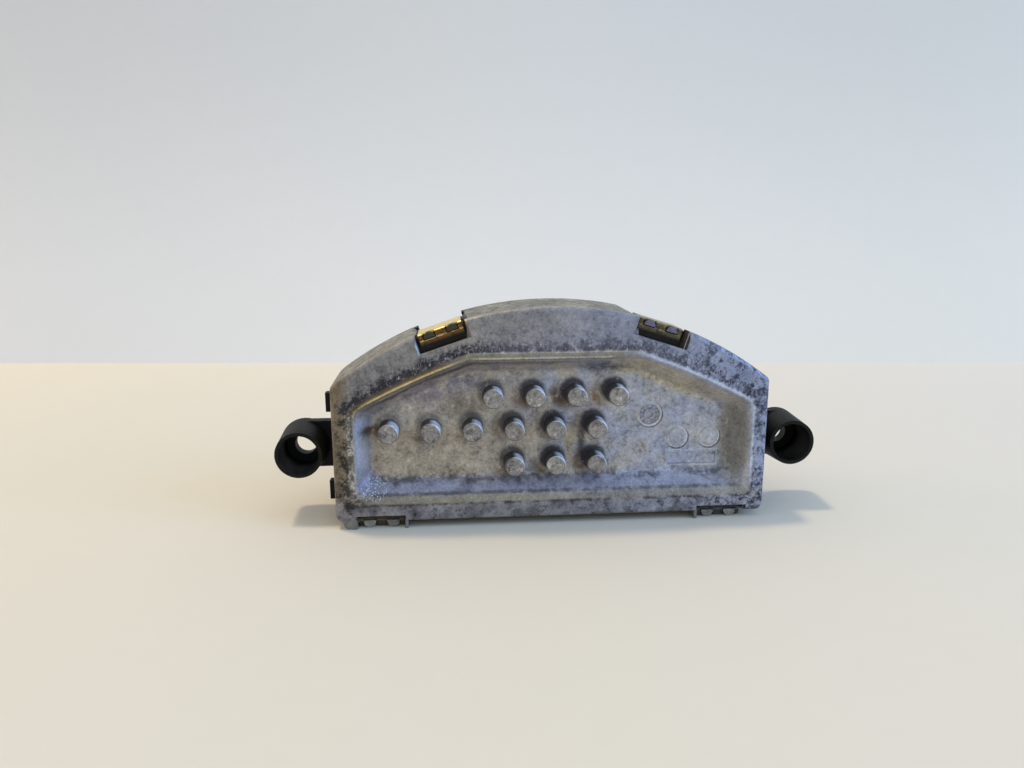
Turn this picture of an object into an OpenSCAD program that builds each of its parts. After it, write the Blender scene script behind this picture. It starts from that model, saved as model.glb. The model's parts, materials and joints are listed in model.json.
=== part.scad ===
// Blower motor control unit: a D-shaped die-cast heat sink with short cooling pins,
// clipped to a plastic housing that has two tubular screw ears and two plug sockets.
// X runs along the straight side, Y from the pin side to the plug side, Z is up.
// The unit stands on its straight side, with the origin under the middle of its box.

/* [Heat sink] */
// Width of the casting at its open edge
sink_w = 105.2; // [90:0.2:120]
// Depth of the casting from the rim face to its open edge
sink_d = 14; // [13:0.5:18]
// Height of the arc's highest point above the straight side
sink_h = 51.4; // [48:0.2:60]
// Radius of the arc
arc_r = 85; // [70:1:110]
// How much narrower the casting is at the front, on each side
draft = 0.6; // [0.2:0.1:1]
// Radius of the outer edge of the rim
edge_round = 1.2; // [0.6:0.1:1.6]
// Radius of the two lower corners
corner_r = 2.5; // [1.8:0.1:4]
// Radius of the rim's lower edge
low_round = 0.5; // [0.3:0.1:0.8]
// Radius where the arc meets the sides, at the front
shoulder_r = 2.4; // [2:0.1:5]
// Radius where the arc meets the sides, at the open edge
rear_shoulder = 6.5; // [4:0.1:8]
// Place where the low right flank of the arc begins, right of the centre
flank_x = 17; // [14:0.2:18]
// How far that flank lies below the arc
flank_drop = 1.1; // [0.6:0.1:1.2]
// Thickness of the side wall
sink_wall = 2.6; // [2:0.1:3.2]
// Thickness of the front rim
rim_wall = 3; // [2.4:0.1:3.6]
// Height of the straight side above what the unit stands on
foot_h = 1.7; // [1.2:0.1:2.4]

/* [Tray] */
// Width of the tray's mouth
tray_w = 97.2; // [86:0.2:98]
// Rim below the tray
tray_low = 4.3; // [3.8:0.1:6]
// Height of the tray's straight upper edge
tray_top = 40.4; // [38:0.2:42]
// Length of that straight upper edge
tray_flat = 40; // [30:1:50]
// Height at which the sloping shoulder meets the side
tray_side = 27.8; // [25:0.2:30]
// Bulge of the shoulder above a straight line
shoulder_bulge = 0.7; // [0.3:0.1:1.5]
// Depth of the tray
tray_d = 5; // [4:0.1:6]
// Thickness of the tray's floor
floor_t = 3; // [2.4:0.1:3.2]
// Radius where the tray's wall meets its floor
floor_round = 1.5; // [0.5:0.1:2]
// Slope of the tray's wall from the rim face, in degrees
slope = 52; // [45:1:65]
// Radius of the rolled lip round the tray
lip_r = 2.5; // [1.5:0.1:3]
// Radius of the mouth's corners
tray_corner = 3; // [2:0.1:4]

/* [Cooling pins] */
// Pin diameter at the tip
pin_d = 4.7; // [3.5:0.1:4.9]
// Pin diameter at the floor
pin_base = 5; // [4.9:0.1:6]
// How far the pins stand out past the rim
pin_proud = 0.3; // [0:0.1:1]
// Distance between pins in a row
pin_pitch = 9.9; // [8.5:0.1:10]
// Height of the middle row
pin_row = 21.5; // [20:0.1:23]
// Rise from the middle row to the upper row
row_up = 7.9; // [7:0.1:8.2]
// Drop from the middle row to the lower row
row_down = 8.7; // [7:0.1:9]
// Place of the first pin of the middle row, left of the centre
pin_start = 39; // [36:0.2:40]

/* [Clips] */
// Width of a clip
clip_w = 10.5; // [9:0.1:11.5]
// Thickness of the clip's steel
clip_t = 0.6; // [0.4:0.1:0.8]
// Length of a clip's legs
clip_leg = 2.9; // [2.6:0.1:3]
// Outside distance between its legs
clip_span = 9.3; // [8:0.1:9.8]
// Distance of its front leg behind the rim face
clip_back = 1.5; // [1:0.1:1.8]
// Turn of the upper left clip about the arc's centre, in degrees
turn_left = 18.4; // [16:0.1:21]
// Turn of the upper right clip about the arc's centre, in degrees
turn_right = 17.7; // [16:0.1:21]
// Place of the lower left clip, left of the centre
clip_left = 41.3; // [38:0.1:41.6]
// Place of the lower right clip, right of the centre
clip_right = 41.1; // [38:0.1:41.6]
// Depth of an upper clip below the arc
clip_sunk = 0.9; // [0.4:0.1:1]
// Width of an upper clip pocket's mouth
pocket_w = 12.5; // [12.2:0.1:13.5]
// How much each side of an upper pocket leans in
pocket_lean = 0.6; // [0.2:0.1:0.6]
// Depth of an upper pocket below its clip
pocket_deep = 1.4; // [0.6:0.1:1.8]
// Width of a lower clip pocket
low_pocket_w = 11.2; // [11.1:0.1:12.4]
// Bevel along an upper clip slot
slot_bevel = 1.5; // [0.5:0.1:1.6]
// Bevel round the pockets' mouths
bevel = 0.3; // [0.1:0.1:0.5]
// Width of an upper lug
lug_w = 2.7; // [2.2:0.1:3.2]
// Width of a lower lug
low_lug_w = 2.9; // [2.4:0.1:3.2]
// Height of an upper lug
lug_h = 1.35; // [1:0.05:1.6]
// Height of a lower lug
low_lug_h = 1.7; // [1:0.05:1.8]
// Distance between the two lugs of a pocket
lug_gap = 5.6; // [5:0.1:5.7]
// How far a lug stands out of its leg
lug_out = 0.5; // [0.2:0.1:0.8]

/* [Marks] */
// Diameter of the date ring
ring_d = 5.8; // [4:0.1:7]
// Diameter of the two plain discs
disc_d = 5; // [3.5:0.1:6]
// Height of the marks above the tray's floor
mark_h = 0.4; // [0.2:0.05:0.5]

/* [Housing] */
// Thickness of the flange behind the casting
flange_t = 4; // [3.5:0.1:6]
// How far the flange stays inside the casting's outline
flange_in = 0.5; // [0.3:0.1:1]
// How far the rear shell stays inside the casting's outline
shell_in = 3.2; // [2.8:0.1:4]
// Depth of the rear shell behind the flange
shell_d = 13; // [12.6:0.2:20]
// Wall of the housing
wall = 2; // [1.6:0.1:2.4]
// Length of the spigot that enters the casting
spigot = 2; // [1.5:0.1:2.5]
// Clearance round the spigot and the clip tongues
fit = 0.3; // [0.2:0.05:0.4]
// How far the side tabs stand out past the casting
tab_out = 2.6; // [1.5:0.1:4]
// Height of a side tab
tab_h = 4.8; // [3:0.1:6]

/* [Ears] */
// Distance between the two screw holes
ear_gap = 122; // [121:0.5:140]
// Height of the screw holes above the casting's straight side
ear_z = 15.2; // [14:0.1:18]
// Outer diameter of an ear at its foot
ear_d = 12.7; // [12:0.1:15]
// Outer diameter of an ear at its front
ear_tip = 11.3; // [11.2:0.1:12]
// Length of an ear
ear_len = 12; // [9:0.1:13]
// Diameter of the recess for the screw's head
head_d = 9.6; // [8:0.1:9.8]
// Thickness of the ear's floor behind that recess
ear_floor = 3; // [2:0.1:4]
// How far an ear stands out behind the flange
ear_back = 1.5; // [0.5:0.1:2]
// Diameter of the screw hole
hole_d = 5.3; // [4.5:0.1:6.5]
// Thickness of the web beside an ear
web_t = 3; // [2:0.1:3.5]
// How far the web reaches below the hole's middle
web_low = 5.6; // [4:0.1:6]

/* [Sockets] */
// Clear height of both plug sockets
socket_h = 9; // [8.5:0.1:11]
// Depth of both plug sockets
socket_d = 12; // [10:0.2:16]
// Wall of the sockets
socket_wall = 1.6; // [1.2:0.1:2]
// Height of the sockets' middle
socket_z = 14; // [12:0.1:15]
// Clear width of the motor socket
motor_w = 19; // [17:0.2:22]
// Place of the motor socket's middle, left of the centre
motor_x = 24; // [22:0.2:26]
// Clear width of the supply socket
supply_w = 30; // [28:0.2:32]
// Place of the supply socket's middle, right of the centre
supply_x = 20; // [18:0.2:22]
// Width of a power blade
blade_w = 6.3; // [5:0.1:6.4]
// Thickness of every blade and pin
blade_t = 0.8; // [0.6:0.1:1]
// Width of a signal pin
signal_w = 2.8; // [1.5:0.1:3]
// How far the blades stay inside the socket's mouth
blade_short = 2; // [1:0.1:3]
// Half the distance between the two motor blades
motor_half = 5; // [4.5:0.1:6]
// Half the distance between the two supply blades
supply_half = 11; // [10:0.1:12]
// Half the distance between the two signal pins
signal_half = 4; // [3.5:0.1:5]

/* [Board] */
// Thickness of the circuit board
board_t = 1.6; // [1:0.1:2]
// Space between the casting's floor and the board
board_gap = 8; // [7.6:0.1:8.6]
// Gap round the board
board_edge = 0.4; // [0.3:0.1:1]
// Diameter of the board screws' shanks
screw_d = 2.5; // [2:0.1:3]
// Diameter of the posts for the screws
post_d = 6; // [5.5:0.1:7]

/* [Transistors] */
// Width of a transistor's body
case_w = 15.8; // [14:0.1:16]
// Height of a transistor's body
case_h = 20.6; // [18:0.1:21]
// Thickness of a transistor's body
case_t = 5; // [4.4:0.1:5]
// Distance of a transistor's middle from the centre
case_x = 12.5; // [12:0.1:14]
// Lower end of the transistors
case_z = 12.5; // [11:0.1:14]
// Thickness of a thermal pad
pad_t = 0.3; // [0.2:0.05:0.5]
// Thickness of the clamp spring
spring_t = 0.8; // [0.5:0.1:1]
// Pitch of the transistors' legs
leg_pitch = 5.45; // [5:0.05:5.6]

/* [Large components] */
// Diameter of the supply capacitor
cap_d = 10; // [8:0.2:10.4]
// Length of the supply capacitor
cap_len = 20; // [16:0.5:22]
// Diameter of the filter capacitor
filter_d = 8; // [6:0.2:9]
// Length of the filter capacitor
filter_len = 11; // [9:0.5:12]
// Diameter of the choke
choke_d = 10.4; // [8:0.2:10.6]
// Length of the choke
choke_len = 19; // [16:0.5:20]
// Diameter of the suppressor disc
disc_suppressor = 9; // [7:0.1:10]

/* [Hidden] */
$fn = 48;
eps = 0.05;
SILVER = [0.70, 0.71, 0.73];
BLACK = [0.07, 0.07, 0.08];
GOLD = [0.80, 0.66, 0.32];
GREEN = [0.10, 0.36, 0.20];
TIN = [0.78, 0.78, 0.76];
COPPER = [0.72, 0.42, 0.22];
// Depths from the rim face
flange_y = sink_d;
shell_y = flange_y + flange_t;
back_y = shell_y + shell_d;
mouth_y = back_y + socket_d;
floor_y = tray_d + floor_t;
board_y = floor_y + board_gap;
board_back = board_y + board_t;
mid_y = (mouth_y - pin_proud) / 2;
// Outline of the casting
arc_z = sink_h - arc_r;
half_w = sink_w / 2;
spigot_in = sink_wall + fit;
inside_in = spigot_in + wall - 0.5;
flank_y = 2;
flank_run = 3.3;
// The shoulder of the tray's mouth is an arc of a large circle: its radius and middle
run = [(tray_w - tray_flat) / 2, tray_side - tray_top];
chord = norm(run);
bow_r = (pow(chord / 2, 2) + pow(shoulder_bulge, 2)) / (2 * shoulder_bulge);
bow_x = (tray_w + tray_flat) / 4 - run[1] / chord * (shoulder_bulge - bow_r);
bow_z = (tray_side + tray_top) / 2 + run[0] / chord * (shoulder_bulge - bow_r);
// How far the rolled lip reaches in, and how deep
lip_in = lip_r * sin(slope);
lip_y = lip_r * (1 - cos(slope));
// Marks on the tray's floor
ring_place = [24, 23.8];
disc_places = [[31, 17.9], [39, 17.9]];
frame_place = [34.9, 12.5];
frame_size = [12.6, 3.7];
frame_t = 0.35;
// Clips and their pockets
leg_back = clip_back + clip_t;
clip_rear = clip_back + clip_span;
slot_w = pocket_w - 2 * pocket_lean;
top_deep = clip_leg + pocket_deep;
low_deep = clip_leg + 0.3;
ledge_side = 1.2;
notch_deep = 1.5;
left_block = [-8.8, low_pocket_w / 2 + 0.8];
right_block = [-low_pocket_w / 2 - 0.8, low_pocket_w / 2 - 0.3];
top_mouths = [[pocket_w / 2, pocket_w / 2], [slot_w / 2 + 0.1, pocket_w - slot_w / 2 + 0.3]];
low_mouths = [[low_pocket_w / 2, low_pocket_w / 2], [low_pocket_w / 2, low_pocket_w / 2 + 0.7]];
block_round = 1.3;
tab_places = [3.6, 26.3];
ledge_t = 2.8;
ledge_y = leg_back + ledge_t;
clip_plane = sink_h - clip_sunk;
bend_in = 0.3;
seat_gap = 0.03;
relief = 2 * bend_in;
tongue_h = clip_leg + 1.7;
window_more = 0.4;
window_under = 0.3;
lug_low = 0.1;
// Mould clearances of small parts
slot_gap = 0.15;
hole_gap = 0.2;
leg_t = 0.6;
leg_w = 1.2;
wire_d = 0.8;
spring_w = case_h * 0.34;
spring_end = 2 * spring_t;
spring_z = case_z + case_h * 0.55;
spring_y = floor_y + pad_t + case_t;
leg_run = 3;
leg_z = case_z + case_h + leg_run;
tab_hole = 3.4;
tab_z = 4.5;
tab_t = 1.5;
post_hole = board_gap - 1;
boss_hole = pad_t + case_t - 1;
// Middles of the four board screws, in X and Z; the upper two follow the arc
post_room = 4.2;
post_x = half_w - 16;
post_z = arc_z + sqrt(pow(arc_r - shell_in - wall - post_room, 2) - pow(post_x, 2));
post_places = [[-half_w + 11, 10.5], [half_w - 11, 10.5], [-post_x, post_z], [post_x, post_z]];
// Places of the large components, in X and Z, and of the legs that are soldered to the board
cap_x = -2;
cap_z = 30;
cap_pitch = 2;
filter_x = -26.5;
filter_z = post_z - 4.5;
filter_pitch = 1.5;
choke_x = 24;
choke_z = 29.5;
choke_cheek = 2;
choke_waist = choke_d * 0.28;
wire_out = 1.2;
wire_places = [
    [cap_x + cap_len / 2 + wire_out, cap_z - cap_pitch], [cap_x + cap_len / 2 + wire_out, cap_z + cap_pitch],
    [filter_x - filter_len / 2 - wire_out, filter_z - filter_pitch],
    [filter_x - filter_len / 2 - wire_out, filter_z + filter_pitch],
    [choke_x - choke_len / 2 + 1, choke_z], [choke_x + choke_len / 2 - 1, choke_z]
];
// The shunt, its two feet, the disc and the chips
shunt_x = -6;
shunt_z = 19;
shunt_len = case_w * 0.76;
shunt_w = shunt_len / 3;
shunt_t = board_t / 2;
shunt_foot = shunt_len / 5;
shunt_feet = [shunt_x - (shunt_len - shunt_t) / 2, shunt_x + (shunt_len - shunt_t) / 2];
suppressor_t = disc_suppressor * 0.35;
suppressor_z = 12;
chip_size = [10, 1.8, 4];
chip_x = 13;
chip_z = socket_z + blade_w / 2 + 4.3;
chip_pitch = 1.27;
small_size = [1.6, 1.2, 3.2];
small_place = [30, 19.6];
small_pitch = 3;

// Everything below is drawn from the rim face and the casting's straight side
module placed() translate([0, -mid_y, foot_h]) children();

// A flat shape in X and Z, given thickness along Y
module along_y(y0, y1)
    translate([0, y1, 0]) rotate([90, 0, 0]) linear_extrude(y1 - y0) children();

function arc_points(x, z, r, a0, a1, n) =
    [for (k = [0:n]) let (a = a0 + (a1 - a0) * k / n) [x + r * cos(a), z + r * sin(a)]];

function arc_at(x, r) = arc_z + sqrt(r * r - x * x);

// Outline of the casting, moved in by some distance; low is its lower edge, round its shoulders' radius
function d_points(in, low, round = shoulder_r) =
    let (
        w = half_w - in,
        r = arc_r - in,
        c = max(corner_r - in, 0.6),
        s = max(round - in, 0.8),
        sz = arc_z + sqrt(pow(r - s, 2) - pow(w - s, 2)),
        a = atan2(sz - arc_z, w - s)
    )
    concat(
        arc_points(w - c, low + c, c, -90, 0, 6),
        arc_points(w - s, sz, s, 0, a, 6),
        arc_points(0, arc_z, r, a + 1, 179 - a, 52),
        arc_points(s - w, sz, s, 180 - a, 180, 6),
        arc_points(c - w, low + c, c, 180, 270, 6)
    );

module outline(in) polygon(d_points(in, in));

// A solid through rings of points, each ring a flat outline at its own depth
module loft(rings) {
    n = len(rings[0]);
    last = len(rings) - 1;
    polyhedron(
        points = [for (r = rings) each r],
        faces = concat(
            [[for (k = [n - 1:-1:0]) k]],
            [for (i = [0:last - 1], k = [0:n - 1]) [i * n + k, i * n + (k + 1) % n, (i + 1) * n + (k + 1) % n]],
            [for (i = [0:last - 1], k = [0:n - 1]) [i * n + k, (i + 1) * n + (k + 1) % n, (i + 1) * n + k]],
            [[for (k = [0:n - 1]) last * n + k]]
        ),
        convexity = 4
    );
}

// An outline of points in X and Z, put at a depth
function ring_at(y, flat) = [for (p = flat) [p[0], y, p[1]]];

// Right half of the tray's outline, moved in by some distance, from the bottom to the top
function tray_half(in) =
    let (
        w = tray_w / 2 - in,
        low = tray_low + in,
        top = tray_top - in,
        r = bow_r - in,
        c = tray_corner,
        sz = bow_z + sqrt(pow(r - c, 2) - pow(w - c - bow_x, 2)),
        a = atan2(sz - bow_z, w - c - bow_x),
        tx = bow_x + sqrt(pow(r - c, 2) - pow(top - c - bow_z, 2)),
        b = atan2(top - c - bow_z, tx - bow_x)
    )
    concat(
        arc_points(w - c, low + c, c, -90, 0, 6),
        arc_points(w - c, sz, c, 0, a, 5),
        arc_points(bow_x, bow_z, r, a + (b - a) / 10, b - (b - a) / 10, 8),
        arc_points(tx, top - c, c, b, 90, 3)
    );

function tray_points(in) =
    let (half = tray_half(in), n = len(half))
    concat(half, [for (k = [n - 1:-1:0]) [-half[k][0], half[k][1]]]);

// How far the tray's wall is inside its mouth, at some depth past the rolled lip
function wall_in(y) = lip_in + (y - lip_y) / tan(slope);

// The tray's hollow: a rolled lip, the sloping wall and a fillet at the floor
module tray_hollow() {
    steps = 4;
    floor_in = wall_in(tray_d) + floor_round * tan(slope / 2);
    loft(concat(
        [ring_at(-1, tray_points(0))],
        [for (k = [0:steps]) let (a = slope * k / steps)
            ring_at(lip_r * (1 - cos(a)), tray_points(lip_r * sin(a)))],
        [for (k = [steps:-1:0]) let (a = slope * k / steps)
            ring_at(tray_d - floor_round * (1 - cos(a)), tray_points(floor_in - floor_round * sin(a)))]
    ));
}

// The casting's outside, with a rounded rim edge, drafted sides and a low flank on the right
module sink_block() {
    steps = 4;
    difference() {
        loft(concat(
            [for (k = [0:steps]) let (a = 90 * k / steps, open = 1 - sin(a))
                ring_at(edge_round * (1 - cos(a)), d_points(draft + edge_round * open, low_round * open))],
            [ring_at(sink_d, d_points(0, 0, rear_shoulder))]
        ));
        flank_cut(flank_drop, flank_y, sink_d + 1);
    }
}

// The step down on the right flank of the arc
module flank_cut(drop, y0, y1) {
    r = arc_r - drop;
    along_y(y0, y1)
        polygon(concat(
            arc_points(0, arc_z, r, 48, acos((flank_x + flank_run) / r), 20),
            [[flank_x, arc_at(flank_x, arc_r)], [flank_x, sink_h + 3], [half_w + 8, sink_h + 3]]
        ));
}

// The hollow behind the rim, which leaves the tray's own shell standing
module sink_hollow() {
    shift = sink_wall / sin(slope);
    difference() {
        along_y(rim_wall, sink_d + 1) outline(sink_wall);
        loft([
            ring_at(rim_wall - 1, tray_points(wall_in(rim_wall - 1) - shift)),
            ring_at(floor_y, tray_points(wall_in(floor_y) - shift))
        ]);
    }
}

// A clip's place: the clip's outer face is at z = 0 there, with the casting below it
module top_place(side)
    translate([0, 0, arc_z]) rotate([0, side < 0 ? -turn_left : turn_right, 0])
        translate([0, 0, clip_plane - arc_z]) children();

module low_place(side)
    translate([side < 0 ? -clip_left : clip_right, 0, -foot_h]) mirror([0, 0, 1]) children();

// The pocket's cut: a bevelled mouth in the rim, then a straight slot for the tongue.
// The mouth's left and right reach from the clip's middle are given apart.
module pocket(mouth, slot, deep) {
    up = 3;
    l = mouth[0];
    r = mouth[1];
    translate([0, 0, -deep]) linear_extrude(deep + up)
        polygon([
            [-l - bevel, -1], [r + bevel, -1], [r + bevel, 0], [r, bevel],
            [slot / 2, leg_back], [-slot / 2, leg_back], [-l, bevel], [-l - bevel, 0]
        ]);
    translate([(r - l) / 2, 0, -deep]) rotate([45, 0, 0])
        cube([l + r, bevel * sqrt(2), bevel * sqrt(2)], center = true);
    translate([-slot / 2, 0, -clip_t]) cube([slot, sink_d + 1, clip_t + up]);
    translate([-slot / 2, ledge_y, -tongue_h - fit]) cube([slot, sink_d, tongue_h + fit + up]);
    edge_relief(leg_back, slot);
}

// A bevelled edge that leaves room for the inside of a clip's bend
module edge_relief(y, w)
    translate([0, y, -clip_t]) rotate([45, 0, 0])
        cube([w, relief, relief], center = true);

// The block of metal behind an upper pocket, which carries the clip's front leg
module ledge()
    translate([-pocket_w / 2 - ledge_side, 1, -top_deep - 2])
        cube([pocket_w + 2 * ledge_side, ledge_y - 1, top_deep + 2 - clip_t]);

// The block behind a lower pocket, which also makes the feet beside it
module low_block(x, round)
    along_y(0, ledge_y)
        polygon(concat(
            [[x[0], -low_deep - 2]],
            arc_points(x[0] + round, -round, round, 180, 90, 5),
            [[x[1], 0], [x[1], -low_deep - 2]]
        ));

// Two lugs with round outer ends that hold a clip by its windows
module lugs(w, h) {
    straight = max(h - w / 2, eps);
    for (x = [-lug_gap / 2, lug_gap / 2])
        translate([x, 0, -lug_low - h])
            along_y(clip_back - lug_out, leg_back + eps)
                polygon(concat(
                    [[-w / 2, 0], [w / 2, 0]],
                    [for (a = [0:15:180]) [w / 2 * cos(a), straight + (h - straight) * sin(a)]]
                ));
}

// The bevels along an upper slot
module slot_edges()
    for (s = [-1, 1])
        along_y(leg_back, sink_d + 1)
            polygon([
                [s * (slot_w / 2 - eps), -clip_t], [s * slot_w / 2, -clip_t + eps],
                [s * (slot_w / 2 + slot_bevel), slot_bevel - clip_t + eps], [s * (slot_w / 2 - eps), slot_bevel]
            ]);

module cooling_pin(x, z)
    translate([x, tray_d + eps, z]) rotate([90, 0, 0])
        rotate_extrude($fn = 40) {
            h = tray_d + pin_proud + eps;
            r = pin_base / 2;
            edge = 0.35;
            polygon([
                [0, -0.5], [r + edge, -0.5], [r + edge, eps], [r + edge * 0.3, eps + edge * 0.3],
                [r, eps + edge], [pin_d / 2, h - edge], [pin_d / 2 - edge, h], [0, h]
            ]);
        }

module cooling_pins() {
    for (k = [0:5]) cooling_pin(-pin_start + k * pin_pitch, pin_row);
    for (k = [0:3]) cooling_pin(-pin_start + (k + 2.5) * pin_pitch, pin_row + row_up);
    for (k = [0:2]) cooling_pin(-pin_start + (k + 3) * pin_pitch, pin_row - row_down);
}

// Raised marks on the tray's floor: a date ring with pips, two discs and a plain frame
module marks()
    along_y(tray_d - mark_h, tray_d + eps) {
        translate(ring_place) {
            ring(ring_d, 0.45);
            ring(ring_d * 0.45, 0.4);
            for (a = [0:30:330]) rotate(a) translate([ring_d * 0.36, 0]) circle(d = 0.5, $fn = 16);
        }
        for (p = disc_places) translate(p) circle(d = disc_d);
        translate(frame_place) difference() {
            square(frame_size, center = true);
            square([frame_size[0] - 2 * frame_t, frame_size[1] - 2 * frame_t], center = true);
        }
    }

module ring(d, t)
    difference() {
        circle(d = d);
        circle(d = d - 2 * t);
    }

module posts()
    for (p = post_places)
        translate([p[0], board_y, p[1]]) rotate([90, 0, 0]) difference() {
            cylinder(h = board_y - rim_wall + 0.5, d = post_d);
            translate([0, 0, -1]) cylinder(h = post_hole + 1, d = screw_d + 2 * hole_gap, $fn = 32);
        }

// The boss between the transistors, which takes the clamp screw
module clamp_boss()
    translate([0, spring_y - 0.3, spring_z]) rotate([90, 0, 0]) difference() {
        cylinder(h = spring_y - floor_y + 0.5, d = post_d);
        translate([0, 0, -1]) cylinder(h = boss_hole + 1, d = screw_d + 2 * hole_gap, $fn = 32);
    }

module heat_sink() color(SILVER) placed() {
    difference() {
        union() {
            difference() {
                sink_block();
                sink_hollow();
            }
            for (side = [-1, 1]) top_place(side) ledge();
            low_place(-1) low_block(left_block, block_round);
            low_place(1) low_block(right_block, 0.3);
            posts();
            clamp_boss();
        }
        tray_hollow();
        for (k = [0, 1]) {
            top_place(2 * k - 1) {
                pocket(top_mouths[k], slot_w, top_deep);
                slot_edges();
            }
            low_place(2 * k - 1) pocket(low_mouths[k], low_pocket_w, low_deep);
        }
    }
    for (side = [-1, 1]) {
        top_place(side) lugs(lug_w, lug_h);
        low_place(side) lugs(low_lug_w, low_lug_h);
    }
    cooling_pins();
    marks();
}

// A plastic tongue that fills a clip slot, with a groove for the clip's rear leg
module tongue(slot) {
    w = slot - 2 * fit;
    difference() {
        translate([-w / 2, ledge_y, -tongue_h]) cube([w, flange_y - ledge_y + eps, tongue_h - clip_t]);
        translate([-w, clip_rear - clip_t, -clip_leg - 0.2]) cube([2 * w, clip_t + 1.2, clip_leg + 1]);
        edge_relief(clip_rear - clip_t, slot);
    }
}

// A notch in the flange behind an upper clip
module clip_notch()
    translate([-slot_w / 2, clip_rear, -notch_deep]) cube([slot_w, shell_y + 1 - clip_rear, notch_deep + 3]);

// A tapered ear with a short collar behind the flange
module ear(side)
    translate([side * ear_gap / 2, shell_y, ear_z]) rotate([90, 0, 0]) {
        cylinder(h = ear_len, d1 = ear_d, d2 = ear_tip, $fn = 72);
        translate([0, 0, -ear_back]) cylinder(h = ear_back + 1, d = ear_tip, $fn = 72);
    }

module ear_cut(side)
    translate([side * ear_gap / 2, shell_y + ear_back, ear_z]) rotate([90, 0, 0]) {
        translate([0, 0, -1]) cylinder(h = ear_len, d = hole_d);
        translate([0, 0, ear_floor]) cylinder(h = ear_len + ear_back, d = head_d);
    }

module socket(x, w)
    translate([x, back_y - eps, socket_z]) rotate([-90, 0, 0])
        linear_extrude(socket_d + eps) difference() {
            square([w + 2 * socket_wall, socket_h + 2 * socket_wall], center = true);
            square([w, socket_h], center = true);
        }

// A latch nose and two key ribs outside a socket
module socket_latch(x, w) {
    top = socket_z + socket_h / 2 + socket_wall;
    translate([x - 2.5, 0, top - eps]) rotate([90, 0, 90]) linear_extrude(5)
        polygon([[mouth_y - 6, 0], [mouth_y - 2, 0], [mouth_y - 5, 1.4], [mouth_y - 6, 1.4]]);
    for (s = [-1, 1]) translate([x + s * (w / 2 - 2) - 0.6, back_y - eps, top - eps])
        cube([1.2, socket_d * 0.8, 1]);
}

module blade_slots() {
    for (x = [-motor_half, motor_half]) blade_slot(-motor_x + x, blade_w);
    for (x = [-supply_half, supply_half]) blade_slot(supply_x + x, blade_w);
    for (x = [-signal_half, signal_half]) blade_slot(supply_x + x, signal_w);
}

module blade_slot(x, w)
    translate([x - blade_t / 2 - slot_gap, back_y - wall - 1, socket_z - w / 2 - slot_gap])
        cube([blade_t + 2 * slot_gap, wall + 2, w + 2 * slot_gap]);

// The shell behind the flange, with a rounded rear edge
module rear_shell() {
    round = 2;
    steps = 3;
    loft(concat(
        [ring_at(shell_y - eps, d_points(shell_in, shell_in, rear_shoulder))],
        [for (k = [0:steps]) let (a = 90 * k / steps, in = shell_in + round * (1 - cos(a)))
            ring_at(back_y - round * (1 - sin(a)), d_points(in, in, rear_shoulder))]
    ));
}

module housing() color(BLACK) placed() {
    difference() {
        union() {
            difference() {
                along_y(flange_y, shell_y) polygon(d_points(flange_in, -foot_h, rear_shoulder));
                flank_cut(flank_drop + flange_in, flange_y - 1, shell_y + 1);
            }
            along_y(flange_y - spigot, flange_y + eps) outline(spigot_in);
            rear_shell();
            for (side = [-1, 1]) {
                ear(side);
                web(side);
                gussets(side);
                for (z = tab_places) side_tab(side, z);
                top_place(side) tongue(slot_w);
                low_place(side) tongue(low_pocket_w);
            }
            socket(-motor_x, motor_w);
            socket(supply_x, supply_w);
            socket_latch(-motor_x, motor_w);
            socket_latch(supply_x, supply_w);
        }
        along_y(flange_y - spigot - 1, shell_y) outline(inside_in);
        along_y(shell_y - eps, back_y - wall) outline(max(shell_in + wall, inside_in));
        for (side = [-1, 1]) {
            ear_cut(side);
            top_place(side) clip_notch();
        }
        blade_slots();
    }
}

// The flat web between the flange and an ear
module web(side)
    translate([side > 0 ? half_w - 2 : -ear_gap / 2, shell_y - web_t, ear_z - web_low])
        cube([ear_gap / 2 - half_w + 2, web_t, web_low + ear_d / 2 - 0.2]);

// Two small gussets behind each web
module gussets(side)
    for (z = [ear_z - web_low + 0.6, ear_z + ear_d / 2 - 2.5])
        translate([0, 0, z]) linear_extrude(1.5)
            polygon([
                [side * (half_w - shell_in - 1), shell_y - 1], [side * (half_w + 3), shell_y - 1],
                [side * (half_w - shell_in), shell_y + 7], [side * (half_w - shell_in - 1), shell_y + 7]
            ]);

module side_tab(side, z)
    translate([side > 0 ? half_w - 2 : -half_w - tab_out, flange_y, z - tab_h / 2])
        cube([tab_out + 2, flange_t * 0.6, tab_h]);

// Side view of a clip: a U with rounded bends, legs down
module u_profile() {
    bend = clip_t + bend_in;
    difference() {
        u_block(clip_span, clip_leg, bend);
        translate([clip_t, -1])
            u_block(clip_span - 2 * clip_t, clip_leg - clip_t + seat_gap + 1, bend - clip_t);
    }
}

module u_block(l, h, r) {
    square([l, h - r]);
    translate([r, 0]) square([l - 2 * r, h]);
    for (x = [r, l - r]) translate([x, h - r]) circle(r, $fn = 32);
}

// A clip whose two windows, cut through the bend, take lugs w wide and h high
module clip(w, h) {
    window_w = w + window_more;
    window_h = lug_low + h + window_under;
    difference() {
        translate([-clip_w / 2, clip_back, -clip_leg]) rotate([90, 0, 90])
            linear_extrude(clip_w) u_profile();
        for (x = [-lug_gap / 2, lug_gap / 2])
            translate([x - window_w / 2, clip_back - 1, -window_h])
                cube([window_w, clip_t + 1.2, window_h + 1]);
    }
}

module clip_top_left() color(GOLD) placed() top_place(-1) clip(lug_w, lug_h);
module clip_top_right() color(GOLD) placed() top_place(1) clip(lug_w, lug_h);
module clip_bottom_left() color(GOLD) placed() low_place(-1) clip(low_lug_w, low_lug_h);
module clip_bottom_right() color(GOLD) placed() low_place(1) clip(low_lug_w, low_lug_h);

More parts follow.
